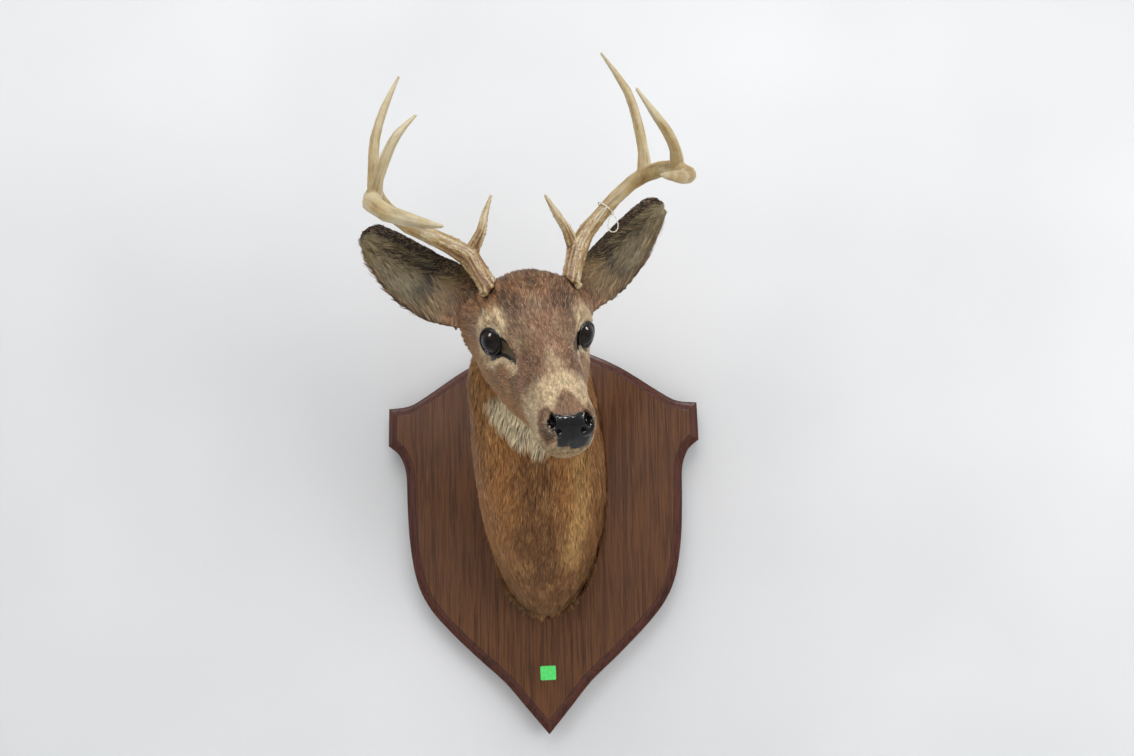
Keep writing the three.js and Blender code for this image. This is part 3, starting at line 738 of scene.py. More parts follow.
def ear_markings(points, side, inner):
    """Colour of the hair on one ear, with painted shade in the hollow of the cup and along a fold across it;
    inner is 1 in the cup and 0 on the back.
    """
    local = in_ear(points, side)
    s, across = local[:, 0], local[:, 1]
    wander = noise(points, 9, 31)
    streak = noise(np.stack([s * 30, across, local[:, 2]], axis=1), 4, 32)
    from_upper = np.interp(s, *EAR_EDGE[side][:2]) - across
    from_lower = across - np.interp(s, EAR_EDGE[side][0], EAR_EDGE[side][2])
    inside = mix(colour("ear_in"), colour("ear_dark_and_hollow_shade"), np.clip(0.42 + 0.8 * streak, 0, 0.9))
    # pale hair fans out over the lower and outer half and fringes the rim
    fan = step(-2, -14, across + 4 * wander) * step(0.36, 0.5, s) * step(3, 8, from_lower)
    fringe = step(20, 15, from_upper + 2 * wander) * step(0.4, 0.52, s) + step(0.72, 0.84, s)
    pale = np.clip(0.75 * fan + 0.6 * fringe, 0, 0.85)
    inside = paint(inside, "ear_fan", pale * np.clip(0.75 + 0.8 * streak, 0, 1))
    # painted shade in the hollow of the cup, below its upper rim
    hollow = np.exp(-((s - 0.64) / 0.15) ** 2 - ((across - 7) / 13) ** 2)
    inside = paint(inside, "ear_dark_and_hollow_shade", 0.9 * hollow * np.clip(0.8 + 0.6 * streak, 0, 1))
    # a dark line crosses the cup along a fold: painted shade in its crease
    fold = off_line(np.stack([s * 150, across], axis=1), [(66, 12), (56, -6), (50, -24)])
    inside = paint(inside, "ear_fold_shade", 0.95 * step(10, 3, fold + 2 * wander))
    inside = paint(inside, "ear_root", 0.85 * step(0.4, 0.27, s) * step(16, 4, across))
    inside = paint(inside, "ear_rim", 0.97 * step(12.5 + 2 * wander, 10, from_upper) * step(0.2, 0.4, s))
    inside = paint(inside, "ear_rim", 0.9 * step(0.91, 0.95, s + 0.01 * wander))
    inside = paint(inside, "ear_out", 0.7 * step(5, 2, from_lower))
    edge = np.clip(step(14, 4, from_upper) + step(0.8, 0.97, s), 0, 1)
    outside = mix(colour("ear_out"), colour("ear_rim"), 0.8 * edge)
    return mix(outside, inside, inner)


# Colour of each kind of bare skin, in the order that they are laid over one another
BARE_COLOURS = {"wing": "wing", "nose": "nose", "nostril": "lid", "mouth": "lip", "slit": "slit",
                "lid": "lid"}
EAR_EDGE = {}  # how far each ear's skin reaches up and down across it, at steps along it


def measure_ear(points, side):
    """Fills EAR_EDGE; nearer the head than 0.3 of the way, the ear's edge is taken to run on straight."""
    local = in_ear(points, side)
    steps = np.linspace(0.16, 0.98, 21)
    reach = np.full((len(steps), 2), np.nan)
    for row, s in enumerate(steps):
        if s > 0.3:
            reach[row] = np.percentile(local[np.abs(local[:, 0] - s) < 0.03, 1], (99, 1))
    for k in (0, 1):
        known = ~np.isnan(reach[:, k])
        reach[:, k] = np.interp(steps, steps[known], reach[known, k])
    EAR_EDGE[side] = (steps, reach[:, 0], reach[:, 1])


def markings(points, normals):
    """Colour of the coat at each point, shared by the skin and every tuft over it."""
    c = mix(face_markings(points), neck_markings(points), neck_share(points))
    for side in SIDES:
        share = ear_share(points, side)
        chosen = share > 0.01
        if chosen.any():
            _, _, rows = ear_axes(side)
            inner = step(-0.15, 0.25, normals[chosen] @ rows[2])
            ear = ear_markings(points[chosen], side, inner)
            c[chosen] = mix(c[chosen], ear, share[chosen])
    return c


# ---------------------------------------------------------------- skin


FLESH = ["head", "neck", "nose_pad", "ear_left", "ear_right"]
# Folds round each eye: rise, distance where it ends, distance where it is full, and its line across the eye
LID_FOLDS = [
    (1.2, 5, 0, [(-21, 7), (-14, 18), (0, 23.5), (13, 21)]),
    (-0.9, 2.6, 0.4, [(-16, 14), (-6, 20), (6, 20.5)]),
    (0.9, 5, 0, [(-12, -18), (2, -21.5), (16, -17)]),
]


def coat_depth(points):
    """How far the skin lies inside the tips of the coat."""
    f, _, u = in_head(points).T
    neck = neck_share(points)
    depth = layered(
        np.full(len(points), 2.6),
        (1.3, step(95, 150, f)),  # muzzle
        (0.2, nose_share(points)),
        (4.8, step(8, -28, f) * step(8, 28, u)),  # crown
        (3.6, step(-10, -50, u) * step(70, 20, f)),  # jaw
        (3.6, neck),
        (2.6, neck * step(-35, -22, points[:, 1])),  # edge of the hide
    )
    for side in SIDES:
        at, _ = eye_axes(side)
        from_eye = np.linalg.norm(points - at, axis=1)
        depth = layered(depth, (0.9, ear_share(points, side)), (1.2, step(34, 24, from_eye)))
    return depth


def nose_share(points):
    """1 on the bare nose skin, 0 on the hair."""
    f, v, u = in_head(points).T
    o = np.abs(v)
    edge = 0.9 * noise(points, 4, 41)
    top = step(14.6, 13.0, u - 0.25 * (f - 172) - 0.10 * (o - 8) + edge)
    back = 163 + 0.010 * (o - 6) ** 2 + edge
    ahead = step(back, back + 2, f)
    # the right side ends higher and tapers more toward the lip
    low = step(np.where(v < 0, -23.0, -27) + edge, np.where(v < 0, -21.0, -25) + edge, u)
    right = 1.35 * np.clip(3 - u, 0, 8) + 0.05 * np.clip(-5 - u, 0, 30)
    taper = np.where(v < 0, right, 0.12 * np.clip(-2 - u, 0, 24))
    return top * ahead * low * step(27, 25, o + taper + edge)


def wing_share(points):
    """1 on the grey fold of skin below each nostril."""
    q = folded(in_head(points))
    fold = off_line(q, [(170, 25, 0), (175, 22, -6), (180, 16.5, -7)])
    return step(5.5, 3.0, fold) * (q[:, 0] > 166)


def shape_eyes(points):
    """Lids that hug the eyeballs, with an opening in front of each, and a slit in front of that."""
    opening = EYE["opening"]
    for side in SIDES:
        at, rows = lid_axes(side)
        local, r, opened = eye_place(points, rows, at)
        near = r < 46
        lid = mix(EYE["lid"], np.maximum(r, EYE["lid"] * 0.96), step(opening + 4, opening + 34, opened))
        shaped = np.where(opened < opening, EYE["radius"] - 3.5, lid)
        shaped = mix(shaped, r, step(26, 42, r) * (opened > opening))
        points[near] = at + (local * (shaped / np.maximum(r, 1e-6))[:, None])[near] @ rows
        at, rows = eye_axes(side)
        local, r, _ = eye_place(points, rows, at)
        ahead = local[:, 0] > 0
        slit, half = slit_place(local, side)
        half = half - 0.6
        inside = step(half + 1, half - 2, slit) * ahead * (opened > opening + 1) * (r < 72)
        points -= (inside * 1.3)[:, None] * rows[0]
        for rise, wide, flat, line in LID_FOLDS:
            points += (rise * step(wide, flat, off_line(local[:, 1:], line)) * ahead)[:, None] * rows[0]
    return points


def shape_muzzle(points, normals):
    """Nostrils, the line of the mouth, and the step round the nose skin."""
    p = in_head(points)
    q = folded(p)
    near, half = nostril_place(q)
    hole = step(half + 1.4, half * 0.35, near)
    inward = np.array(NOSTRIL_DRAW) @ HEAD_AXES
    points = points + hole[:, None] * inward
    wing = off_line(q, [(164, 24.5, 13), (168, 26.5, 7), (172, 26, -1), (176, 22, -6), (180, 15, -6)])
    points += (1.8 * step(5, 0.5, wing) * (hole < 0.4))[:, None] * normals
    parting = step(2.4, 0.3, np.abs(p[:, 1] + 1)) * step(172, 178, p[:, 0])
    points -= (1.1 * parting)[:, None] * normals
    mouth = off_line(p[:, [0, 2]], MOUTH)
    groove = step(2.6, 0.2, mouth)
    points -= (2.2 * groove)[:, None] * normals
    lip = off_line(p[:, [0, 2]], [(f, u + 4.2) for f, u in MOUTH])
    points += (0.7 * step(4, 0.5, lip))[:, None] * normals
    return points


def bare_masks(points):
    """Where no hair grows: nose, lids with their slit, nostrils and the mouth's line."""
    p = in_head(points)
    q = folded(p)
    nose = nose_share(points)
    nostril, beside = np.zeros(len(points)), np.zeros(len(points))
    for share in (0, 0.35, 0.7, 1):  # points drawn in still belong to the place they came from
        near, half = nostril_place(q - share * np.array(NOSTRIL_DRAW))
        nostril = np.maximum(nostril, step(half + 0.6, half - 0.8, near))
        beside = np.maximum(beside, step(half + 1.6, half + 0.8, near) * (q[:, 0] > 162))
    mouth = off_line(p[:, [0, 2]], MOUTH)
    mouth = step(1.9, 0.9, mouth) * step(96, 104, p[:, 0])
    lid, slit = np.zeros(len(points)), np.zeros(len(points))
    for side in SIDES:
        at, rows = lid_axes(side)
        _, r, angle = eye_place(points, rows, at)
        lid = np.maximum(lid, step(EYE["opening"] + 9, EYE["opening"] + 6, angle) * (r < 26))
        at, rows = eye_axes(side)
        local, r, _ = eye_place(points, rows, at)
        away, wide = slit_place(local, side)
        inside = step(wide + 2.2, wide + 1.2, away) * (local[:, 0] > 0) * (r < 72)
        slit = np.maximum(slit, inside)
        lid = np.maximum(lid, inside * step(wide - 3.0, wide - 1.8, away))
    nose = np.maximum(nose, beside)
    wing = wing_share(points) * (1 - nose)
    return {"wing": wing, "nose": nose, "nostril": nostril, "mouth": mouth, "slit": slit, "lid": lid}


def refine(mesh, chosen):
    """Halves the edges between chosen points."""
    work = bmesh.new()
    work.from_mesh(mesh)
    edges = [e for e in work.edges if chosen[e.verts[0].index] and chosen[e.verts[1].index]]
    bmesh.ops.subdivide_edges(work, edges=edges, cuts=1, use_grid_fill=True)
    work.to_mesh(mesh)
    work.free()


def skin_mesh():
    """Skin of the head, neck and ears in one piece, under the coat."""
    mesh = run_together(FLESH + ["eye_left", "eye_right"], SKIN_MESH)
    points, edges = points_of(mesh), edges_of(mesh)
    ear = np.maximum(ear_share(points, 1), ear_share(points, -1))
    muzzle = step(140, 160, in_head(points)[:, 0])
    points = relax(points, edges, 14)
    points = relax(points, edges, 70, (1 - 0.9 * ear) * (1 - 0.8 * muzzle))
    points[:, 1] = np.minimum(points[:, 1], BOARD_FACE - HIDE_GAP)
    set_points(mesh, points)
    fine = in_head(points)[:, 0] > 152  # the nose, and round each eye and its slit
    for side in SIDES:
        at, rows = eye_axes(side)
        fine |= np.linalg.norm(points - at - 12 * rows[1], axis=1) < 33
    refine(mesh, fine)
    points, edges, normals = points_of(mesh), edges_of(mesh), normals_of(mesh)
    for side in SIDES:  # fat root below each ear, and an upper edge trimmed to its outline
        local = in_ear(points, side)
        trim = ear_share(points, side) * step(0.25, 0.45, local[:, 0]) * step(1.0, 0.8, local[:, 0])
        across = np.clip(local[:, 1], 0, None) * (0.05 if side > 0 else 0.17) * trim
        points = points - across[:, None] * ear_axes(side)[2][1]
        root = np.exp(-((local[:, 0] - 0.06) / 0.14) ** 2 - ((local[:, 1] + 24) / 17) ** 2)
        points = points + (4.5 * root)[:, None] * normals
    jaw_corner = 5.5 * blob(points, (-80, -214, 176), (26, 34, 38))
    points = points + jaw_corner[:, None] * normals
    off_board = points[:, 1] < BOARD_FACE - 1.5
    points = points - (coat_depth(points) + 0.3)[:, None] * normals * off_board[:, None]
    points = shape_eyes(points)
    points = shape_muzzle(points, normals)
    points = relax(points, edges, 2, np.where(in_head(points)[:, 0] > 130, 0.5, 0.3))
    set_points(mesh, points)
    for side in SIDES:
        measure_ear(points, side)
    return mesh


# ---------------------------------------------------------------- coat


def coat_growth(points, normals, seed):
    """Length, width, lift, lie and gathering of the hair at each point."""
    f, v, u = in_head(points).T
    n = len(points)
    neck = neck_share(points)
    length = layered(
        np.full(n, 7.0),
        (4.0, step(95, 140, f)),  # muzzle
        (9.5, step(30, -8, f) * step(10, 26, u)),  # forehead
        (10.5, step(2, -30, f) * step(6, 24, u)),  # crown
        (11, step(-14, -46, u) * step(80, 20, f)),  # jaw
        (9, step(-40, -52, u) * step(60, 90, f) * step(160, 130, f)),  # chin
    )
    lift = mix(np.full(n, 13.0), 16, step(4, -26, f) * step(8, 26, u))
    width = mix(np.full(n, 1.0), 0.62, step(90, 140, f))
    lock = np.full(n, 6.0)
    # hair lies back from the nose, turns in a whorl on the crown and parts round the eyes
    lie = np.tile(HEAD_AXES[0] * -1 - 0.28 * HEAD_AXES[2], (n, 1))
    whorl = np.cross(HEAD_AXES[2], points - from_head([[-30, 2, 46]]))
    turning = np.exp(-((f + 30) ** 2 + v ** 2) / 700) * step(15, 30, u)
    lie = mix(unit(lie), unit(whorl), 0.5 * turning)
    for side in SIDES:
        at, rows = eye_axes(side)
        away = points - at
        reach = np.linalg.norm(away, axis=1)
        local = away @ rows.T
        slit, _ = slit_place(local, side)
        beside = step(19, 12, slit) * (local[:, 0] > 0)
        length = layered(length, (3.6, step(34, 26, reach)), (2.6, beside))
        lift = mix(lift, 5, beside)
        lie = lie + (0.9 * step(40, 24, reach))[:, None] * unit(away)
    x, y, z = points.T
    fall = np.tile(unit((0.0, 0.30, -0.95)), (n, 1))  # hair of the neck hangs down and back
    fall[:, 0] += 0.28 * noise(points, 60, 51)
    bib, hem = bib_share(points), hem_share(points)
    fall = mix(fall, unit((-0.55, 0.15, -0.85)), 0.6 * bib)
    length = layered(length, (mix(11.5, 16, bib), neck), (15, neck * step(-60, -95, z)),
                     (np.where(x < 0, 13, 10), hem))
    lift = layered(lift, (mix(13, 22, bib), neck), (np.where(x < 0, 72, 60), hem),
                   (22, neck * step(-32, -23, y) * step(-70, -30, z)))
    width = layered(width, (1.15, neck), (0.75, hem))
    lock = mix(lock, 6.5, neck)
    lie = mix(unit(lie), unit(fall), neck)
    for side in SIDES:
        share = ear_share(points, side)
        _, _, rows = ear_axes(side)
        s, across, _ = in_ear(points, side).T
        inner = step(-0.1, 0.3, normals @ rows[2])
        from_upper = np.interp(s, *EAR_EDGE[side][:2]) - across
        length = layered(length, (mix(7, 15, inner), share), (6, share * step(0.86, 1.0, s)),
                         (3.5, share * step(18, 13, from_upper)))
        lift = mix(lift, mix(8, 17, inner), share)
        width = mix(width, mix(0.9, 0.85, inner), share)
        lock = mix(lock, 8, share)
        inward = -np.sign(across + 6)[:, None] * rows[1] * (0.35 * inner)[:, None]
        lie = mix(lie, unit(rows[0] + inward), share)
    wild = np.stack([noise(points, 16, seed + k) for k in range(3)], axis=1)
    lie = lie + 0.22 * wild
    lie = unit(lie - (lie * normals).sum(1)[:, None] * normals)
    return length, width, lift, lie, lock, neck


def scatter(mesh, count, weight, rng):
    """Random places on a mesh, more of them where the weight of a face is greater."""
    triangles = read(mesh.loop_triangles, "vertices", 3, np.int32)
    points, normals = points_of(mesh), normals_of(mesh)
    a, b, c = (points[triangles[:, k]] for k in range(3))
    area = np.linalg.norm(np.cross(b - a, c - a), axis=1) / 2
    total = np.cumsum(area * weight[triangles].mean(1))
    chosen = np.searchsorted(total, rng.random(count) * total[-1])
    chosen = np.minimum(chosen, len(triangles) - 1)
    s, t = rng.random(count), rng.random(count)
    flip = s + t > 1
    s[flip], t[flip] = 1 - s[flip], 1 - t[flip]
    shares = np.stack([1 - s - t, s, t], axis=1)
    where = (points[triangles[chosen]] * shares[..., None]).sum(1)
    facing = unit((normals[triangles[chosen]] * shares[..., None]).sum(1))
    return where, facing


def unwrapped(points, kind):
    """Place of each point on an unwrap of the skin: round and along the head or neck, or over an ear."""
    if kind == "head":
        p = in_head(points)
        round_, along = np.arctan2(p[:, 1], p[:, 2] + 20), p[:, 0]
    elif kind == "neck":
        low, high = (np.array(end, float) for end in NECK_AXIS)
        axis = unit(high - low)
        side = unit(np.cross(axis, (0, 0, 1)))
        away = points - low
        round_ = np.arctan2(away @ side, away @ np.cross(axis, side))
        along = away @ axis
    else:
        side = 1 if kind == "left" else -1
        local = in_ear(points, side)
        outer = (local[:, 2] < local[:, 2].mean()) * 1.0
        round_, along = np.clip(local[:, 1], -55, 40) + 110 * outer, local[:, 0]
    uv = np.stack([round_, along], axis=1)
    low, high = uv.min(0), uv.max(0)
    return 0.01 + 0.98 * (uv - low) / (high - low)


# Each tuft has five points: two at its root, two in its middle and its tip
TUFT_FACES = [[0, 2, 3, 1], [2, 4, 3]]
PATCH = 0.003  # width of a tuft's patch on its unwrap
PATCH_CORNERS = [[-0.5, -0.5], [-0.36, 0], [0.36, 0], [0.5, -0.5], [-0.36, 0], [0, 0.5], [0.36, 0]]


def tuft_mesh(name, places):
    """A mesh of tufts from the five points of each."""
    count, size = places.shape[:2]
    base = np.arange(count)[:, None]
    corners = np.concatenate([base * size + np.array(face) for face in TUFT_FACES], axis=1)
    mesh = bpy.data.meshes.new(name)
    mesh.vertices.add(count * size)
    mesh.loops.add(corners.size)
    mesh.polygons.add(count * len(TUFT_FACES))
    mesh.loops.foreach_set("vertex_index", corners.ravel().astype(np.int32))
    starts = (base * corners.shape[1] + np.array([0, len(TUFT_FACES[0])])).ravel()
    mesh.polygons.foreach_set("loop_start", starts.astype(np.int32))
    set_points(mesh, places.reshape(-1, 3))
    mesh.update(calc_edges=True)
    smooth_faces(mesh)
    return mesh


def tufts(name, skin, tree, count, weight, unwrap, material, seed, coat):
    """One piece of flat tapering tufts that lie along the skin."""
    rng = np.random.default_rng(seed)
    points, normals = scatter(skin, count, weight, rng)
    length, width, lift, lie, lock, neck = coat_growth(points, normals, seed)
    hem = hem_share(points)
    length = length * coat.length * (0.72 + 0.5 * rng.random(count))
    across = np.cross(normals, lie)
    lift = np.radians(lift * (0.6 + 0.8 * rng.random(count))) * coat.lift

    # tips lean toward the middle of their lock, and stand at a set height off the skin
    middle, share = nearest_lock(points, float(np.median(lock)), seed + 7)
    gather = middle - points
    gather -= (gather * normals).sum(1)[:, None] * normals
    pull = np.clip(0.42 - 0.012 * np.linalg.norm(gather, axis=1), 0.1, 0.42) * (1 - 0.8 * hem)
    lean = lie * np.cos(lift)[:, None] + normals * np.sin(lift)[:, None]
    tip = points + length[:, None] * lean + gather * pull[:, None]
    stand = 0.4 + length * np.sin(lift) * (0.75 + 0.5 * share)
    settled = np.empty_like(tip)
    for i, place in enumerate(tip):
        near, facing, _, _ = tree.find_nearest(place)
        settled[i] = near + facing * stand[i]
    tip = settled
    root = points - 0.4 * normals
    arch = np.maximum(0.10 * length * np.sin(lift), 0.0) + length ** 2 * 0.0016
    mid = root * 0.5 + tip * 0.5 + normals * (arch + 0.25)[:, None]
    half = (width * (0.75 + 0.5 * rng.random(count)) / 2)[:, None] * across
    sag = 0.1 * width[:, None] * normals
    places = np.stack([root - half, root + half, mid - half * 0.72 + sag, mid + half * 0.72, tip], axis=1)
    places[..., 1] = np.minimum(places[..., 1], BOARD_FACE - 0.3)
    mesh = tuft_mesh(name, places)
    size = places.shape[1]

    # some hairs are pale and some dark, alone and in locks
    tint = markings(points, normals)
    pick = rng.random(count)
    _, near = nearest_lock(points, 3.2, seed + 17)
    grizzled = (1 - 0.6 * neck) * coat.grizzle
    tint = mix(tint, tint * 0.45 + 0.55 * colour("grizzle"), grizzled * (pick > 0.78) * 0.8)
    tone = 1 + 0.4 * neck * (near - 0.5) + grizzled * (0.55 * (near - 0.5) - 0.35 * (pick < 0.2))
    tone = tone + 0.3 * (rng.random(count) - 0.5) + 0.2 * (share - 0.5)
    put(mesh, "marking", np.repeat(np.clip(tint * tone[:, None], 0, 1), size, axis=0))
    put(mesh, "strand", np.repeat(rng.random(count), size))
    put(mesh, "along", np.tile([0, 0, 0.5, 0.5, 1], count))

    patches = unwrapped(points, unwrap)[:, None, :] + np.array(PATCH_CORNERS) * PATCH
    mesh.uv_layers.new(name="OFBake").data.foreach_set("uv", patches.ravel().astype(np.float32))
    # light falls on the tufts as on the skin below them, rounded a little across each one
    leaning = unit(normals * 0.8 + lie * 0.12 + hem[:, None] * np.array([0, -1.1, 0.4]))
    left, right = leaning - across * 0.35, leaning + across * 0.35
    facing = np.stack([left, right, left, right, leaning + lie * 0.15], axis=1)
    mesh.normals_split_custom_set_from_vertices(unit(facing.reshape(-1, 3)))
    return link_piece(name, mesh, material)


# Where the coat is parted: forward along the head, and up the neck in z
MUZZLE_FROM, CROWN_FROM = 88, -22
THROAT_FROM, CHEST_FROM = 55, -22


def coat_weights(skin):
    """Share of each coat piece at each point of the skin."""
    points = points_of(skin)
    free = np.ones(len(points))
    for mask in bare_masks(points).values():
        free *= 1 - mask
    free *= points[:, 1] < BOARD_FACE - 0.6
    for side in SIDES:
        at, rows = eye_axes(side)
        local = (points - at) @ rows.T
        free *= 1 - (np.linalg.norm(local, axis=1) < 24) * (local[:, 0] > 10)
    f, v, _ = in_head(points).T
    left, right = ear_share(points, 1), ear_share(points, -1)
    ear = np.maximum(left, right)
    on_neck = neck_share(points) > 0.5
    neck, head = on_neck * (1 - ear), ~on_neck * (1 - ear)
    face = head * (f <= MUZZLE_FROM) * (f > CROWN_FROM)
    z = points[:, 2]
    pieces = {
        # finer hair toward the nose
        "coat_muzzle": head * (f > MUZZLE_FROM) * mix(1.0, 1.7, step(60, 130, f)),
        "coat_face_left": face * (v > 0),
        "coat_face_right": face * (v <= 0),
        "coat_crown": head * (f <= CROWN_FROM),
        "coat_throat": neck * (z > THROAT_FROM),
        "coat_neck": neck * (z <= THROAT_FROM) * (z > CHEST_FROM),
        "coat_chest": neck * (z <= CHEST_FROM),
        "coat_ear_left": left,
        "coat_ear_right": right,
    }
    free *= 1 + 2.5 * on_neck * beside_board(points) * step(20, -20, z)  # dense hem by the board
    return {name: np.maximum(weight * free, 0) for name, weight in pieces.items()}


# Number of tufts, kind of unwrap and slot of each coat piece
COATS = {
    "coat_muzzle": (60000, "head", "face_coat"),
    "coat_face_left": (46000, "head", "face_coat"),
    "coat_face_right": (46000, "head", "face_coat"),
    "coat_crown": (46000, "head", "face_coat"),
    "coat_throat": (52000, "neck", "neck_coat"),
    "coat_neck": (56000, "neck", "neck_coat"),
    "coat_chest": (56000, "neck", "neck_coat"),
    "coat_ear_left": (40000, "left", "ear_coat"),
    "coat_ear_right": (40000, "right", "ear_coat"),
}


# ---------------------------------------------------------------- lids, eyes, antlers


def lid_rims():
    """Dark rims of the lids round each opening."""
    made = []
    for side in SIDES:
        at, rows = lid_axes(side)
        turns = np.radians(np.arange(0, 360, 7.5))
        angle = np.radians(EYE["opening"] - 0.5 + 1.2 * np.sin(2 * turns + 0.6))
        r = EYE["radius"] + 0.75
        ring = [np.cos(angle), np.sin(angle) * np.cos(turns), np.sin(angle) * np.sin(turns)]
        local = np.stack(ring, axis=1) * r
        thick = 1.5 - 0.45 * np.sin(turns)  # the upper lid is the thinner
        made.append(tube(at + local @ rows, thick, closed=True, sides=10))
    return join(made)


def eye_mesh(side):
    """Glass eyeball with a slightly proud cornea, and shares of pupil and iris on it."""
    at, rows = lid_axes(side)
    ball = bmesh.new()
    bmesh.ops.create_uvsphere(ball, u_segments=64, v_segments=48, radius=EYE["radius"] * MM)
    turn = Matrix([list(row) for row in (rows[1], rows[2], rows[0])]).transposed()
    if turn.determinant() < 0:
        turn = Matrix([list(row) for row in (rows[1], -rows[2], rows[0])]).transposed()
    for v in ball.verts:
        angle = math.degrees(v.co.angle(Vector((0, 0, 1)), 0))
        v.co *= 1 + 0.022 * max(0, 1 - (angle / 38) ** 2)  # the cornea stands a little proud
    local = np.array([v.co for v in ball.verts]) / MM
    bmesh.ops.transform(ball, matrix=turn.to_4x4(), verts=ball.verts)
    bmesh.ops.translate(ball, vec=Vector(at) * MM, verts=ball.verts)
    bmesh.ops.recalc_face_normals(ball, faces=ball.faces)
    mesh = as_mesh(ball, "eye")
    smooth_faces(mesh)
    # the pupil is a level oval; the eye's front axis lies along the head, so it is turned level
    level = rows @ np.array([0, 0, 1.0])
    tilt = math.atan2(level[2], level[1]) - math.pi / 2
    px = local[:, 0] * math.cos(tilt) + local[:, 1] * math.sin(tilt)
    pz = -local[:, 0] * math.sin(tilt) + local[:, 1] * math.cos(tilt)
    oval = np.hypot(px / 1.45, pz) / EYE["pupil"]
    front = local[:, 2] > 0
    put(mesh, "pupil", np.where(front, step(1.4, 0.9, oval), 0))
    put(mesh, "iris", np.where(front, step(15.5, 11.5, np.hypot(local[:, 0], local[:, 1])), 0))
    return mesh


def antler_surface(points, side):
    """Distance along and angle round the nearest branch of an antler, and how near its tip that is."""
    best = np.full(len(points), np.inf)
    along, turn, tip = (np.zeros(len(points)) for _ in range(3))
    for rows in ANTLERS[SIDES[side]].values():
        rows = np.array(rows, float)
        line = spline_points(rows[:, :3], 6)
        tangent = unit(np.gradient(line, axis=0))
        travel = np.concatenate([[0], np.cumsum(np.linalg.norm(np.diff(line, axis=0), axis=1))])
        radius = np.interp(np.linspace(0, len(rows) - 1, len(line)), range(len(rows)), rows[:, 3])
        away = np.linalg.norm(points[:, None] - line[None], axis=2)
        near = (away / radius).argmin(1)
        score = (away / radius)[np.arange(len(points)), near]
        toward = np.array([0.3, -1, 0.1])
        front = unit(toward - (tangent @ toward)[:, None] * tangent)
        across = np.cross(tangent, front)
        out = points - line[near]
        angle = np.arctan2((out * across[near]).sum(1), (out * front[near]).sum(1))
        closer = score < best
        best = np.where(closer, score, best)
        along = np.where(closer, travel[near], along)
        turn = np.where(closer, angle, turn)
        tip = np.where(closer, step(95, 5, travel[-1] - travel[near]), tip)
    return along, turn, tip


def antler_nodes(side):
    """CAD nodes of one antler."""
    return [f"antler_{SIDES[side]}_{part}" for part in ANTLER_PARTS]


def antler_mesh(side, settings):
    """One antler: furrowed along its branches, beaded near the burr and smooth at the tips."""
    mesh = run_together(antler_nodes(side), ANTLER_MESH)
    points, edges = points_of(mesh), edges_of(mesh)
    points = relax(points, edges, 16)
    set_points(mesh, points)
    normals = normals_of(mesh)
    along, turn, tip = antler_surface(points, side)
    burr = np.array(ANTLERS[SIDES[side]]["beam"][0][:3], float)
    height = np.linalg.norm(points - burr, axis=1)
    low = step(175, 60, height)
    grain = np.stack([np.cos(turn) * 9, np.sin(turn) * 9, along * 0.10], axis=1)
    ridge = 0.7 * noise(grain, 2.4, 61) + 0.6 * noise(grain, 1.5, 62) + 0.3 * noise(grain, 5, 67)
    middle, share = nearest_lock(points, 5.2, 63)
    bead = step(2.6, 0.3, np.linalg.norm(points - middle, axis=1)) * (share > 0.35)
    rough = noise(points, 3.2, 64)
    pearled = low * step(20, 34, height + 6 * rough)
    push = (0.45 + 0.85 * low) * ridge * (1 - 0.7 * tip) + settings.pearling / MM * bead * pearled
    push = push + 1.5 * step(20, 9, np.abs(height - 14)) * np.maximum(rough, -0.3)
    points = points + (push - 0.25)[:, None] * normals
    points = relax(points, edges, 1, 0.5)
    set_points(mesh, points)
    smooth_faces(mesh)
    stain = 0.16 + 0.17 * step(210, 40, height) + 0.22 * noise(grain, 7, 65) - 0.2 * tip
    stain += low * (0.5 * np.clip(-ridge * 1.6 + 0.05, -0.25, 1) - 0.4 * bead) + 0.10 * noise(points, 30, 66)
    put(mesh, "stain", np.clip(stain, 0, 1))
    put(mesh, "furrow", np.clip(0.5 - 0.5 * ridge - 0.3 * bead * low, 0, 1))
    put(mesh, "bark", low * (1 - 0.6 * tip))
    put(mesh, "grain", grain * 0.02 + 0.5)
    return mesh


# ---------------------------------------------------------------- materials


def feed(tree, target, inputs):
    """Sets a node's inputs to values, or links them to sockets or to the first output of other nodes."""
    for key, value in inputs.items():
        if isinstance(value, bpy.types.Node):
            value = value.outputs[0]
        if isinstance(value, bpy.types.NodeSocket):
            tree.links.new(value, target.inputs[key])
        else:
            target.inputs[key].default_value = value


def node(tree, kind, inputs=None, stops=None, **settings):
    """Adds a node with its settings, its inputs and the stops of its ramp, which are hex, linear or grey."""
    made = tree.nodes.new("ShaderNode" + kind)
    for key, value in settings.items():
        setattr(made, key, value)
    feed(tree, made, inputs or {})
    if stops:
        ramp = made.color_ramp
        while len(ramp.elements) < len(stops):
            ramp.elements.new(1)
        for element, (place, value) in zip(ramp.elements, stops):
            element.position = place
            shade = srgb(value) if isinstance(value, str) else value
            element.color = (*shade, 1) if hasattr(shade, "__len__") else (shade, shade, shade, 1)
    return made


def new_material(name):
    """An empty node material with its shader and output."""
    material = bpy.data.materials.new(name)
    material.use_nodes = True
    tree = material.node_tree
    tree.nodes.clear()
    shader = node(tree, "BsdfPrincipled")
    node(tree, "OutputMaterial", {"Surface": shader})
    return material, tree, shader


def colour4(hex_colour):
    """Linear values and alpha, as a shader's socket takes them."""
    return (*srgb(hex_colour), 1)


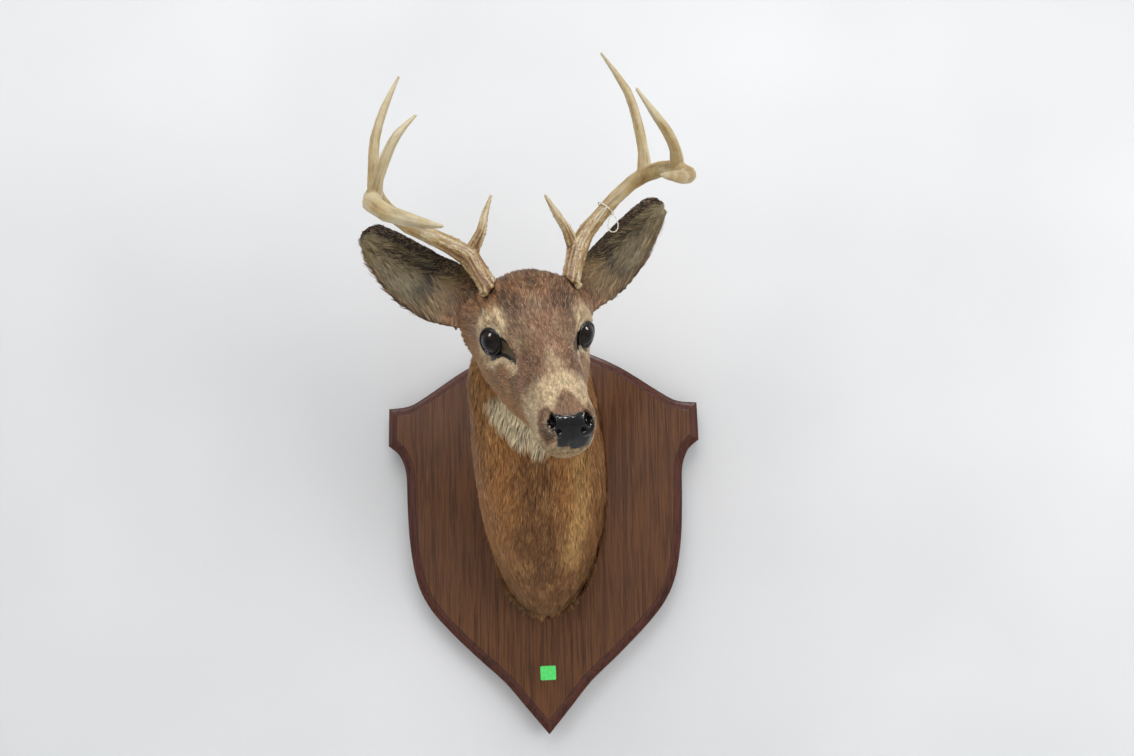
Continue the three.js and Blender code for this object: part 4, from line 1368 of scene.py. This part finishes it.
def hide_material():
    """Tanned hide with its short under-hair: matt and finely streaked, with bare wet-black nose and lids."""
    material, tree, shader = new_material("tanned hide with under-hair")
    place = node(tree, "TexCoord").outputs["Object"]
    marking = node(tree, "Attribute", attribute_name="marking")
    bare = node(tree, "Attribute", attribute_name="bare").outputs["Fac"]
    wet = node(tree, "Attribute", attribute_name="wet").outputs["Fac"]
    fine = node(tree, "TexNoise", {"Vector": place, "Scale": 900, "Detail": 3})
    streaks = node(tree, "ValToRGB", {"Fac": fine}, stops=[(0.3, 0.55), (0.7, 1.1)])
    haired = node(tree, "MixRGB", {"Fac": 1.0, "Color1": marking, "Color2": streaks}, blend_type="MULTIPLY")
    whole = node(tree, "MixRGB", {"Fac": bare, "Color1": haired, "Color2": marking})
    # the nose skin is pebbled in grains of about 1.5 mm
    pebbles = node(tree, "TexVoronoi", {"Vector": place, "Scale": 620}, feature="SMOOTH_F1")
    pebble = node(tree, "Math", {0: pebbles, 1: wet}, operation="MULTIPLY")
    lump = node(tree, "Bump", {"Height": pebble, "Strength": 0.5, "Distance": 0.0006}, invert=True)
    hair = node(tree, "Bump", {"Height": fine, "Strength": 0.35, "Distance": 0.0006, "Normal": lump})
    rough = node(tree, "MapRange", {"Value": wet, "From Min": 0.0, "From Max": 1.0,
                                    "To Min": 0.85, "To Max": 0.15})
    feed(tree, shader, {"Base Color": whole, "Roughness": rough, "Normal": hair, "IOR": 1.45,
                        "Specular IOR Level": 0.42})
    return material


def hair_material(name, tip_shade, root_painted_shade, sheen):
    """Hollow deer hair: each one painted darker toward its root as shade among the hairs, paler toward a dark
    point, matt with a faint silky edge.
    """
    material, tree, shader = new_material(name)
    marking = node(tree, "Attribute", attribute_name="marking")
    strand = node(tree, "Attribute", attribute_name="strand").outputs["Fac"]
    along = node(tree, "Attribute", attribute_name="along").outputs["Fac"]
    # painted shade at each tuft's root; the pale band and darker point above it are the hair's own
    band = node(tree, "ValToRGB", {"Fac": along},
                stops=[(0, root_painted_shade), (0.45, 1.0), (0.75, 1.12), (1, tip_shade)])
    banded = node(tree, "MixRGB", {"Fac": 1.0, "Color1": marking, "Color2": band}, blend_type="MULTIPLY")
    each = node(tree, "MapRange", {"Value": strand, "To Min": 0.78, "To Max": 1.2})
    varied = node(tree, "HueSaturation", {"Color": banded, "Value": each})
    feed(tree, shader, {"Base Color": varied, "Roughness": 0.62, "IOR": 1.5, "Specular IOR Level": 0.3,
                        "Sheen Weight": sheen, "Sheen Roughness": 0.45, "Sheen Tint": colour4("e9d8bd")})
    return material


def eye_material(settings):
    """Painted glass eye: near-black pupil in a dark brown iris under a clear wet dome."""
    material, tree, shader = new_material("painted glass eye")
    place = node(tree, "TexCoord").outputs["Object"]
    pupil = node(tree, "Attribute", attribute_name="pupil").outputs["Fac"]
    iris = node(tree, "Attribute", attribute_name="iris").outputs["Fac"]
    fibres = node(tree, "TexNoise", {"Vector": place, "Scale": 700, "Detail": 4})
    brown = node(tree, "MixRGB", {"Fac": fibres, "Color1": (*settings.iris, 1), "Color2": colour4("1c100a")})
    ringed = node(tree, "MixRGB", {"Fac": iris, "Color1": colour4("0c0908"), "Color2": brown})
    whole = node(tree, "MixRGB", {"Fac": pupil, "Color1": ringed, "Color2": colour4("060607")})
    feed(tree, shader, {"Base Color": whole, "Roughness": 0.3, "IOR": 1.3, "Specular IOR Level": 0.1,
                        "Coat Weight": 0.5, "Coat Roughness": 0.03, "Coat IOR": 1.45})
    return material


def antler_material(settings):
    """Dry bone: ivory on the tips and ridges, rubbed bark-brown in the furrows and round the burr."""
    material, tree, shader = new_material("bark-stained antler bone")
    place = node(tree, "TexCoord").outputs["Object"]
    stain = node(tree, "Attribute", attribute_name="stain").outputs["Fac"]
    furrow = node(tree, "Attribute", attribute_name="furrow").outputs["Fac"]
    grain = node(tree, "Attribute", attribute_name="grain").outputs["Vector"]
    low = node(tree, "Attribute", attribute_name="bark").outputs["Fac"]
    cloud = node(tree, "TexNoise", {"Vector": place, "Scale": 38, "Detail": 4, "Roughness": 0.6})
    lines = node(tree, "TexNoise", {"Vector": grain, "Scale": 40, "Detail": 5, "Roughness": 0.62})
    drift = node(tree, "MapRange", {"Value": cloud, "From Min": 0.35, "From Max": 0.7,
                                    "To Min": -0.16, "To Max": 0.2})
    much = node(tree, "Math", {0: stain, 1: drift}, operation="ADD", use_clamp=True)
    bone = node(tree, "ValToRGB", {"Fac": much},
                stops=[(0.0, tuple(settings.pale)), (0.3, "b3975f"), (0.55, "957041"),
                       (0.9, tuple(settings.stain))])
    dark = node(tree, "Math", {0: furrow, 1: lines}, operation="MULTIPLY")
    deep = node(tree, "MapRange", {"Value": dark, "From Min": 0.22, "From Max": 0.5,
                                   "To Min": 0.98, "To Max": 0.52})
    whole = node(tree, "HueSaturation", {"Color": bone, "Value": deep})
    # wrinkled bark-brown cracks 1 to 2 mm apart round the base
    bent = node(tree, "TexNoise", {"Vector": place, "Scale": 330, "Detail": 4, "Roughness": 0.7})
    both = node(tree, "MixRGB", {"Fac": 0.45, "Color1": lines, "Color2": bent})
    crack = node(tree, "ValToRGB", {"Fac": both}, stops=[(0.43, 1.0), (0.53, 0.0)])
    barky = node(tree, "Math", {0: crack, 1: low}, operation="MULTIPLY")
    soft = node(tree, "Math", {0: barky, 1: 0.9}, operation="MULTIPLY")
    barked = node(tree, "MixRGB", {"Fac": soft, "Color1": whole, "Color2": colour4("774a26")})
    bump = node(tree, "Bump", {"Height": both, "Strength": 0.6, "Distance": 0.0012})
    rough = node(tree, "MapRange", {"Value": lines, "To Min": 0.42, "To Max": 0.68})
    feed(tree, shader, {"Base Color": barked, "Roughness": rough, "Normal": bump, "IOR": 1.54})
    return material


def walnut_material(name, dark, light, gloss):
    """Stained and lacquered wood: fine upright grain with short pores, worn paler in patches."""
    material, tree, shader = new_material(name)
    place = node(tree, "TexCoord").outputs["Object"]
    # streaks of late wood about 5 mm apart, drawn out along the height of the board
    upright = node(tree, "Mapping", {"Vector": place, "Scale": (1.0, 1.0, 0.035)})
    rings = node(tree, "TexNoise", {"Vector": upright, "Scale": 190, "Detail": 6, "Roughness": 0.6,
                                    "Distortion": 0.5})
    pores = node(tree, "TexNoise", {"Vector": upright, "Scale": 620, "Detail": 3})
    cloud = node(tree, "TexNoise", {"Vector": place, "Scale": 14, "Detail": 3})
    wood = node(tree, "ValToRGB", {"Fac": rings},
                stops=[(0.28, dark), (0.5, light), (0.58, dark), (0.78, light)])
    pore = node(tree, "ValToRGB", {"Fac": pores}, stops=[(0.36, 0.58), (0.52, 1.0)])
    pitted = node(tree, "MixRGB", {"Fac": 0.8, "Color1": wood, "Color2": pore}, blend_type="MULTIPLY")
    shade = node(tree, "MapRange", {"Value": cloud, "To Min": 0.72, "To Max": 1.22})
    whole = node(tree, "HueSaturation", {"Color": pitted, "Value": shade})
    bump = node(tree, "Bump", {"Height": pores, "Strength": 0.12, "Distance": 0.0005})
    rough = node(tree, "MapRange", {"Value": rings, "To Min": gloss - 0.08, "To Max": gloss + 0.12})
    feed(tree, shader, {"Base Color": whole, "Roughness": rough, "Normal": bump, "IOR": 1.5,
                        "Specular IOR Level": 0.3})
    return material


def paper_material():
    """Coated paper label: flat bright green, faintly scuffed."""
    material, tree, shader = new_material("green coated paper")
    place = node(tree, "TexCoord").outputs["Object"]
    scuff = node(tree, "TexNoise", {"Vector": place, "Scale": 420, "Detail": 4})
    tone = node(tree, "ValToRGB", {"Fac": scuff}, stops=[(0.3, "4ee066"), (0.7, "66f27f")])
    bump = node(tree, "Bump", {"Height": scuff, "Strength": 0.1, "Distance": 0.0002})
    feed(tree, shader, {"Base Color": tone, "Roughness": 0.5, "Normal": bump})
    return material


def string_material():
    """Cotton twine: soft off-white with a two-ply twist of about 2 mm, painted darker in the grooves of the
    twist as shade.
    """
    material, tree, shader = new_material("twisted cotton string")
    place = node(tree, "TexCoord").outputs["Object"]
    ply = node(tree, "TexWave", {"Vector": place, "Scale": 160, "Distortion": 1.5},
               bands_direction="DIAGONAL").outputs["Fac"]
    fuzz = node(tree, "TexNoise", {"Vector": place, "Scale": 2500, "Detail": 2})
    # painted shade: the twist's grooves are darker, following the same waves as the bump
    tone = node(tree, "ValToRGB", {"Fac": ply}, stops=[(0, "b9b09c"), (1, "efe9dc")])
    both = node(tree, "Math", {0: ply, 1: fuzz}, operation="ADD")
    bump = node(tree, "Bump", {"Height": both, "Strength": 0.5, "Distance": 0.0003})
    feed(tree, shader, {"Base Color": tone, "Roughness": 0.9, "Normal": bump, "Sheen Weight": 0.3})
    return material


def wall_material(hex_colour):
    """Painted sheet wall, seen only from the front."""
    material, tree, shader = new_material("pale painted wall")
    place = node(tree, "TexCoord").outputs["Object"]
    cloud = node(tree, "TexNoise", {"Vector": place, "Scale": 2.0, "Detail": 2})
    tone = node(tree, "ValToRGB", {"Fac": cloud}, stops=[(0.3, hex_colour), (0.7, "e6e6e7")])
    feed(tree, shader, {"Base Color": tone, "Roughness": 0.6})
    back = node(tree, "NewGeometry").outputs["Backfacing"]
    clear = node(tree, "BsdfTransparent")
    both = node(tree, "MixShader", {"Fac": back, 1: shader, 2: clear})
    output = next(n for n in tree.nodes if n.type == "OUTPUT_MATERIAL")
    feed(tree, output, {"Surface": both})
    return material


# ---------------------------------------------------------------- board, label, string


def board_outline():
    """Points round the shield, with its corners kept sharp."""
    flank = [BOARD["point"], *BOARD["side"], BOARD["ear_low"]]
    shoulder = [BOARD["ear_high"], *BOARD["shoulder"], BOARD["peak"]]
    corners = np.array([flank[0], flank[-1], shoulder[0], shoulder[-1]], float)
    half = []
    for p in np.concatenate([spline_points(run, 4) for run in (flank, shoulder)]):
        distance = np.linalg.norm(p - corners, axis=1).min()
        if not 0.01 < distance < CORNER_ROOM:
            half.append(p)
    other = [(-x, z) for x, z in half[-2:0:-1]]
    return [tuple(p) for p in half] + other


def board_mesh():
    """Shield with its moulded edge: the field is the first material, the rest the second."""
    board = bmesh.new()
    outline = [board.verts.new((x * MM, 0, z * MM)) for x, z in board_outline()]
    back = board.faces.new(outline)
    rise = sum(r for _, r in MOULDING)
    wall = bmesh.ops.extrude_face_region(board, geom=[back], use_keep_orig=True)
    front = next(g for g in wall["geom"] if isinstance(g, bmesh.types.BMFace))
    moved = [g for g in wall["geom"] if isinstance(g, bmesh.types.BMVert)]
    bmesh.ops.translate(board, vec=(0, -(BOARD["thickness"] - rise) * MM, 0), verts=moved)
    bmesh.ops.recalc_face_normals(board, faces=board.faces)
    for width, step_up in MOULDING:
        bmesh.ops.inset_region(board, faces=[front], thickness=width * MM, depth=step_up * MM,
                               use_boundary=True, use_even_offset=True)
    for face in board.faces:
        face.material_index = 0 if face is front else 1
    bmesh.ops.triangulate(board, faces=[f for f in board.faces if len(f.verts) > 8])
    return as_mesh(board, "board")


def sticker_mesh():
    """Square paper label with slightly rounded corners."""
    low, high = (np.array(corner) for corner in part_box("lot_sticker"))
    width, height = LABEL["width"] * MM, LABEL["height"] * MM
    label = bmesh.new()
    bmesh.ops.create_grid(label, x_segments=16, y_segments=16, size=0.5)
    bmesh.ops.scale(label, vec=(width, height, 1), verts=label.verts)
    for degrees, axis in ((90, "X"), (LABEL["turn"], "Y")):
        bmesh.ops.rotate(label, matrix=Matrix.Rotation(math.radians(degrees), 3, axis), verts=label.verts)
    middle = (low + high) / 2
    for v in label.verts:
        x, z = v.co.x / (width / 2), v.co.z / (height / 2)
        curl = max(0, x * 0.7 + z * 0.7 - 0.55) ** 2 * 0.0005  # one corner has begun to lift
        pull = 0.93 if abs(x) > 0.95 and abs(z) > 0.93 else 1.0  # corners are slightly rounded
        v.co = Vector((v.co.x * pull + middle[0], high[1] - 0.00012 - curl, v.co.z * pull + middle[2]))
    bmesh.ops.solidify(label, geom=label.faces, thickness=LABEL["thickness"] * MM)
    bmesh.ops.recalc_face_normals(label, faces=label.faces)
    mesh = as_mesh(label, "sticker")
    smooth_faces(mesh)
    return mesh


def ring_point(degrees, grow=0.0):
    """A place on the ring of string, so far round it from its front."""
    ring = STRING["ring"]
    axis = unit(ring["axis"])
    front = unit(np.array([0, -1, 0]) + axis * axis[1])
    across = np.cross(axis, front)
    across = across if across[0] > 0 else -across
    turn = math.radians(degrees)
    out = front * math.cos(turn) + across * math.sin(turn)
    return np.array(ring["middle"]) + out * (ring["radius"] + grow)


def string_loop():
    """The hanging loop, an open line that starts and ends at the knot."""
    loop = STRING["loop"]
    knot = ring_point(STRING["knot"]["turn"])
    points = []
    for turn in np.linspace(0.22, 2 * math.pi - 0.22, 33):
        fall = (1 - math.cos(turn)) / 2
        out = math.sin(turn) * loop["width"] * math.sqrt(fall) / 2
        points.append(knot + np.array([out, -loop["forward"] * fall - 1, -fall * loop["drop"]]))
    return np.array(points)


def string_tie():
    """The ring, its knot of three turns, and two frayed tails."""
    turns = np.arange(0, 360, 10)
    ring = np.array([ring_point(t, 0.25 * math.sin(math.radians(3 * t))) for t in turns])
    made = [tube(ring, np.full(len(ring), STRING["radius"]), closed=True, sides=10)]
    knot = ring_point(STRING["knot"]["turn"]) + np.array([0, -0.6, 0])
    t = np.linspace(0, 2 * math.pi, 49)[:-1]
    size = STRING["knot"]["radius"] * 0.5
    trefoil = np.stack([np.sin(t) + 2 * np.sin(2 * t), -np.sin(3 * t), np.cos(t) - 2 * np.cos(2 * t)], axis=1)
    made.append(tube(knot + trefoil * size * 0.55, np.full(len(t), STRING["radius"]), closed=True, sides=8))
    start = ring_point(STRING["tails"]["turn"])
    shares = np.linspace(0, 1, 12)
    for k in (0, 1):
        reach, bow = (np.array(STRING["tails"][part][k], float) for part in ("reach", "bow"))
        line = np.array([start + reach * f + bow * math.sin(math.pi * f) for f in shares])
        made.append(tube(line, np.linspace(STRING["radius"], STRING["radius"] * 0.8, 12), sides=8))
        for j in range(5):
            stray = np.array([math.sin(2.1 * j + k), -0.4, math.cos(2.1 * j + k)]) * 0.9
            tip = np.array([line[-2], line[-1], line[-1] + unit(reach) * 1.6 + stray])
            made.append(tube(tip, np.array([0.3, 0.26, 0.1]), sides=6))
    return join(made)


# ---------------------------------------------------------------- settings


class DEER_PG_coat(bpy.types.PropertyGroup):
    amount: FloatProperty(name="Amount", description="Share of the full number of tufts", default=1.0,
                          min=0.05, max=1.0, subtype="FACTOR")
    length: FloatProperty(name="Length", description="Length of the hair against a winter coat's",
                          default=1.0, min=0.3, max=1.2, subtype="FACTOR")
    grizzle: FloatProperty(name="Grizzle", description="How strongly pale and dark hairs mix", default=1.0,
                           min=0.0, max=1.0, subtype="FACTOR")
    lift: FloatProperty(name="Lift", description="How far the hair stands off the skin", default=1.0,
                        min=0.2, max=2.0, subtype="FACTOR")


class DEER_PG_antlers(bpy.types.PropertyGroup):
    pearling: FloatProperty(name="Pearling", description="Height of the beads round the burr", default=0.0013,
                            min=0.0, max=0.003, unit="LENGTH")
    pale: FloatVectorProperty(name="Bone", description="Colour of the rubbed tips", subtype="COLOR",
                              default=srgb("cdbd97"))
    stain: FloatVectorProperty(name="Stain", description="Colour round the burr", subtype="COLOR",
                               default=srgb("68401f"))


class DEER_PG_eyes(bpy.types.PropertyGroup):
    iris: FloatVectorProperty(name="Iris", description="Colour of the iris", subtype="COLOR",
                              default=srgb("24140b"))


class DEER_PG_board(bpy.types.PropertyGroup):
    dark: FloatVectorProperty(name="Dark grain", description="Late wood of the field", subtype="COLOR",
                              default=srgb("55331d"))
    light: FloatVectorProperty(name="Light grain", description="Early wood of the field", subtype="COLOR",
                               default=srgb("6f472a"))


class DEER_PG_stage(bpy.types.PropertyGroup):
    key: FloatProperty(name="Key light", description="Strength of the main soft light", default=62.0,
                       min=0.0, unit="POWER")
    fill: FloatProperty(name="Fill light", description="Strength of the side light", default=22.0,
                        min=0.0, unit="POWER")


GROUPS = {"deer_coat": DEER_PG_coat, "deer_antlers": DEER_PG_antlers, "deer_eyes": DEER_PG_eyes,
          "deer_board": DEER_PG_board, "deer_stage": DEER_PG_stage}


# ---------------------------------------------------------------- operators


class DEER_OT_stage(bpy.types.Operator):
    """Set up the camera, soft lights, wall and floor"""
    bl_idname = "deer.stage"
    bl_label = "Stage"

    def execute(self, context):
        settings = context.scene.deer_stage
        camera = added("camera", bpy.data.cameras.new("camera"))
        tilt = Matrix.Rotation(math.radians(CAMERA["tilt"]), 4, "X")
        roll = Matrix.Rotation(math.radians(CAMERA["roll"]), 4, "Z")
        camera.matrix_world = Matrix.Translation(CAMERA["place"]) @ (tilt @ roll)
        camera.data.lens = CAMERA["lens"]
        camera.data.clip_end = 60
        context.scene.camera = camera

        wall, floor = bmesh.new(), bmesh.new()
        for plane in (wall, floor):
            bmesh.ops.create_grid(plane, x_segments=1, y_segments=1, size=ROOM["size"])
        bmesh.ops.rotate(wall, matrix=Matrix.Rotation(math.radians(90), 3, "X"), verts=wall.verts)
        bmesh.ops.translate(wall, vec=(0, ROOM["wall"], 2.0), verts=wall.verts)
        bmesh.ops.translate(floor, vec=(0, 0, ROOM["floor"]), verts=floor.verts)
        for name, plane, paint_colour in (("wall", wall, "d9dadb"), ("floor", floor, "d4d2ce")):
            mesh = as_mesh(plane, name)
            mesh.materials.append(wall_material(paint_colour))
            added(name, mesh)

        # name, place, watts and size; big soft lamps aren't reflected, and the small ones only are, as glints
        fill = settings.fill
        lamps = [
            ("key", (-0.3, -2.2, 2.9), settings.key, 2.4, False),
            ("fill", (2.3, -1.9, 0.1), fill * 1.3, 2.0, False),
            ("left", (-2.3, -1.7, 0.2), fill * 0.4, 2.0, False),
            ("back", (0.4, 1.8, 1.6), fill, 1.5, False),
            ("left glint", (-0.9, -0.99, 0.76), 7.0, 0.28, True),
            ("right glint", (1.07, -0.72, 0.72), 7.0, 0.24, True),
            ("nose glint", (0.11, -1.39, 1.26), 26.0, 0.3, True),
        ]
        for name, place, power, size, mirrored in lamps:
            light = bpy.data.lights.new(name, "AREA")
            light.energy, light.size = power, size
            lamp = added(name, light)
            lamp.location = place
            lamp.visible_glossy = mirrored
            lamp.visible_diffuse = not mirrored
            aim = Vector((0, -0.2, 0.1)) - Vector(place)
            lamp.rotation_euler = aim.to_track_quat("-Z", "Y").to_euler()

        world = bpy.data.worlds.new("soft room")
        world.use_nodes = True
        back = next(n for n in world.node_tree.nodes if n.type == "BACKGROUND")
        back.inputs["Color"].default_value = (0.93, 0.95, 0.97, 1)
        back.inputs["Strength"].default_value = 0.55
        context.scene.world = world
        context.scene.view_settings.view_transform = "Standard"
        return {"FINISHED"}


class DEER_OT_string(bpy.types.Operator):
    """Tie the tag string round the left antler, with its hanging loop"""
    bl_idname = "deer.string"
    bl_label = "Tag string"

    def execute(self, context):
        cotton = string_material()
        tie = string_tie()
        smooth_faces(tie)
        knot = link_piece("tag_string_tie", tie, cotton, ["tag_string"])
        line = string_loop()
        mesh = tube(line, np.full(len(line), STRING["radius"]), sides=12)
        smooth_faces(mesh)
        loop = link_piece("tag_string_loop", mesh, cotton, ["tag_string"])
        return {"FINISHED"}


class DEER_OT_board(bpy.types.Operator):
    """Build the moulded walnut shield and the paper label on it"""
    bl_idname = "deer.board"
    bl_label = "Shield board"

    def execute(self, context):
        settings = context.scene.deer_board
        field = walnut_material("lacquered walnut", tuple(settings.dark), tuple(settings.light), 0.42)
        edge = walnut_material("red-stained walnut moulding", srgb("3a1b12"), srgb("5c3021"), 0.34)
        link_piece("board", board_mesh(), [field, edge], ["shield_board"])
        link_piece("lot_label", sticker_mesh(), paper_material(), ["lot_sticker"])
        return {"FINISHED"}


class DEER_OT_antlers(bpy.types.Operator):
    """Grow both antlers, beaded near the burr and smooth at the tips"""
    bl_idname = "deer.antlers"
    bl_label = "Antlers"

    def execute(self, context):
        settings = context.scene.deer_antlers
        bone = antler_material(settings)
        for side, name in SIDES.items():
            link_piece(f"{name}_antler", antler_mesh(side, settings), bone, antler_nodes(side))
        return {"FINISHED"}


class DEER_OT_eyes(bpy.types.Operator):
    """Set the glass eyes"""
    bl_idname = "deer.eyes"
    bl_label = "Glass eyes"

    def execute(self, context):
        glass = eye_material(context.scene.deer_eyes)
        for side, name in SIDES.items():
            link_piece(f"glass_eye_{name}", eye_mesh(side), glass, [f"eye_{name}"])
        return {"FINISHED"}


class DEER_OT_skin(bpy.types.Operator):
    """Stretch one skin over the head, neck and ears"""
    bl_idname = "deer.skin"
    bl_label = "Skin"

    def execute(self, context):
        mesh = skin_mesh()
        points, normals = points_of(mesh), normals_of(mesh)
        bare = bare_masks(points)
        tint = markings(points, normals) * 0.92
        for mask, name in BARE_COLOURS.items():
            tint = paint(tint, name, bare[mask])
        put(mesh, "marking", tint)
        put(mesh, "bare", np.maximum.reduce(list(bare.values())))
        put(mesh, "wet", np.maximum(bare["nose"], 0.8 * bare["lid"]))
        smooth_faces(mesh)
        hide = hide_material()
        link_piece("skin", mesh, hide, FLESH)
        rims = lid_rims()
        smooth_faces(rims)
        count = len(rims.vertices)
        put(rims, "marking", np.tile(colour("lid"), (count, 1)))
        put(rims, "bare", np.ones(count))
        put(rims, "wet", np.ones(count))
        link_piece("eyelid_rims", rims, hide)
        return {"FINISHED"}


class DEER_OT_coat(bpy.types.Operator):
    """Lay the coat over the skin in tufts"""
    bl_idname = "deer.coat"
    bl_label = "Coat"

    def execute(self, context):
        settings = context.scene.deer_coat
        skin = bpy.data.objects["skin"].data
        tree = BVHTree.FromPolygons([v.co / MM for v in skin.vertices], [p.vertices for p in skin.polygons])
        materials = {
            "face_coat": hair_material("short winter deer hair", 0.82, 0.6, 0.12),
            "neck_coat": hair_material("long hollow deer hair", 0.86, 0.5, 0.15),
            "ear_coat": hair_material("soft ear hair", 0.95, 0.6, 0.1),
        }
        share = settings.amount * 1
        for seed, (name, weight) in enumerate(coat_weights(skin).items()):
            count, unwrap, slot = COATS[name]
            tufts(name, skin, tree, int(count * share), weight, unwrap, materials[slot],
                  100 + seed, settings)
        return {"FINISHED"}


OPERATORS = [DEER_OT_stage, DEER_OT_string, DEER_OT_board, DEER_OT_antlers, DEER_OT_eyes, DEER_OT_skin,
             DEER_OT_coat]


class DEER_PT_mount(bpy.types.Panel):
    """Sidebar list of the mount's parts"""
    bl_idname = "DEER_PT_mount"
    bl_label = "Deer Shoulder Mount"
    bl_space_type = "VIEW_3D"
    bl_region_type = "UI"
    bl_category = "Deer Mount"

    def draw(self, context):
        for group, kind in GROUPS.items():
            box = self.layout.box()
            settings = getattr(context.scene, group)
            for name in kind.__annotations__:
                box.prop(settings, name)
        for operator in OPERATORS:
            self.layout.operator(operator.bl_idname)


CLASSES = [*GROUPS.values(), *OPERATORS, DEER_PT_mount]


def register():
    for kind in CLASSES:
        bpy.utils.register_class(kind)
    for name, kind in GROUPS.items():
        setattr(bpy.types.Scene, name, PointerProperty(type=kind))


def unregister():
    for name in GROUPS:
        delattr(bpy.types.Scene, name)
    for kind in reversed(CLASSES):
        bpy.utils.unregister_class(kind)


def main():
    register()
    bpy.ops.deer.stage()
    bpy.ops.deer.string()
    bpy.ops.deer.board()
    bpy.ops.deer.antlers()
    bpy.ops.deer.eyes()
    bpy.ops.deer.skin()
    bpy.ops.deer.coat()


if __name__ == "__main__":
    main()
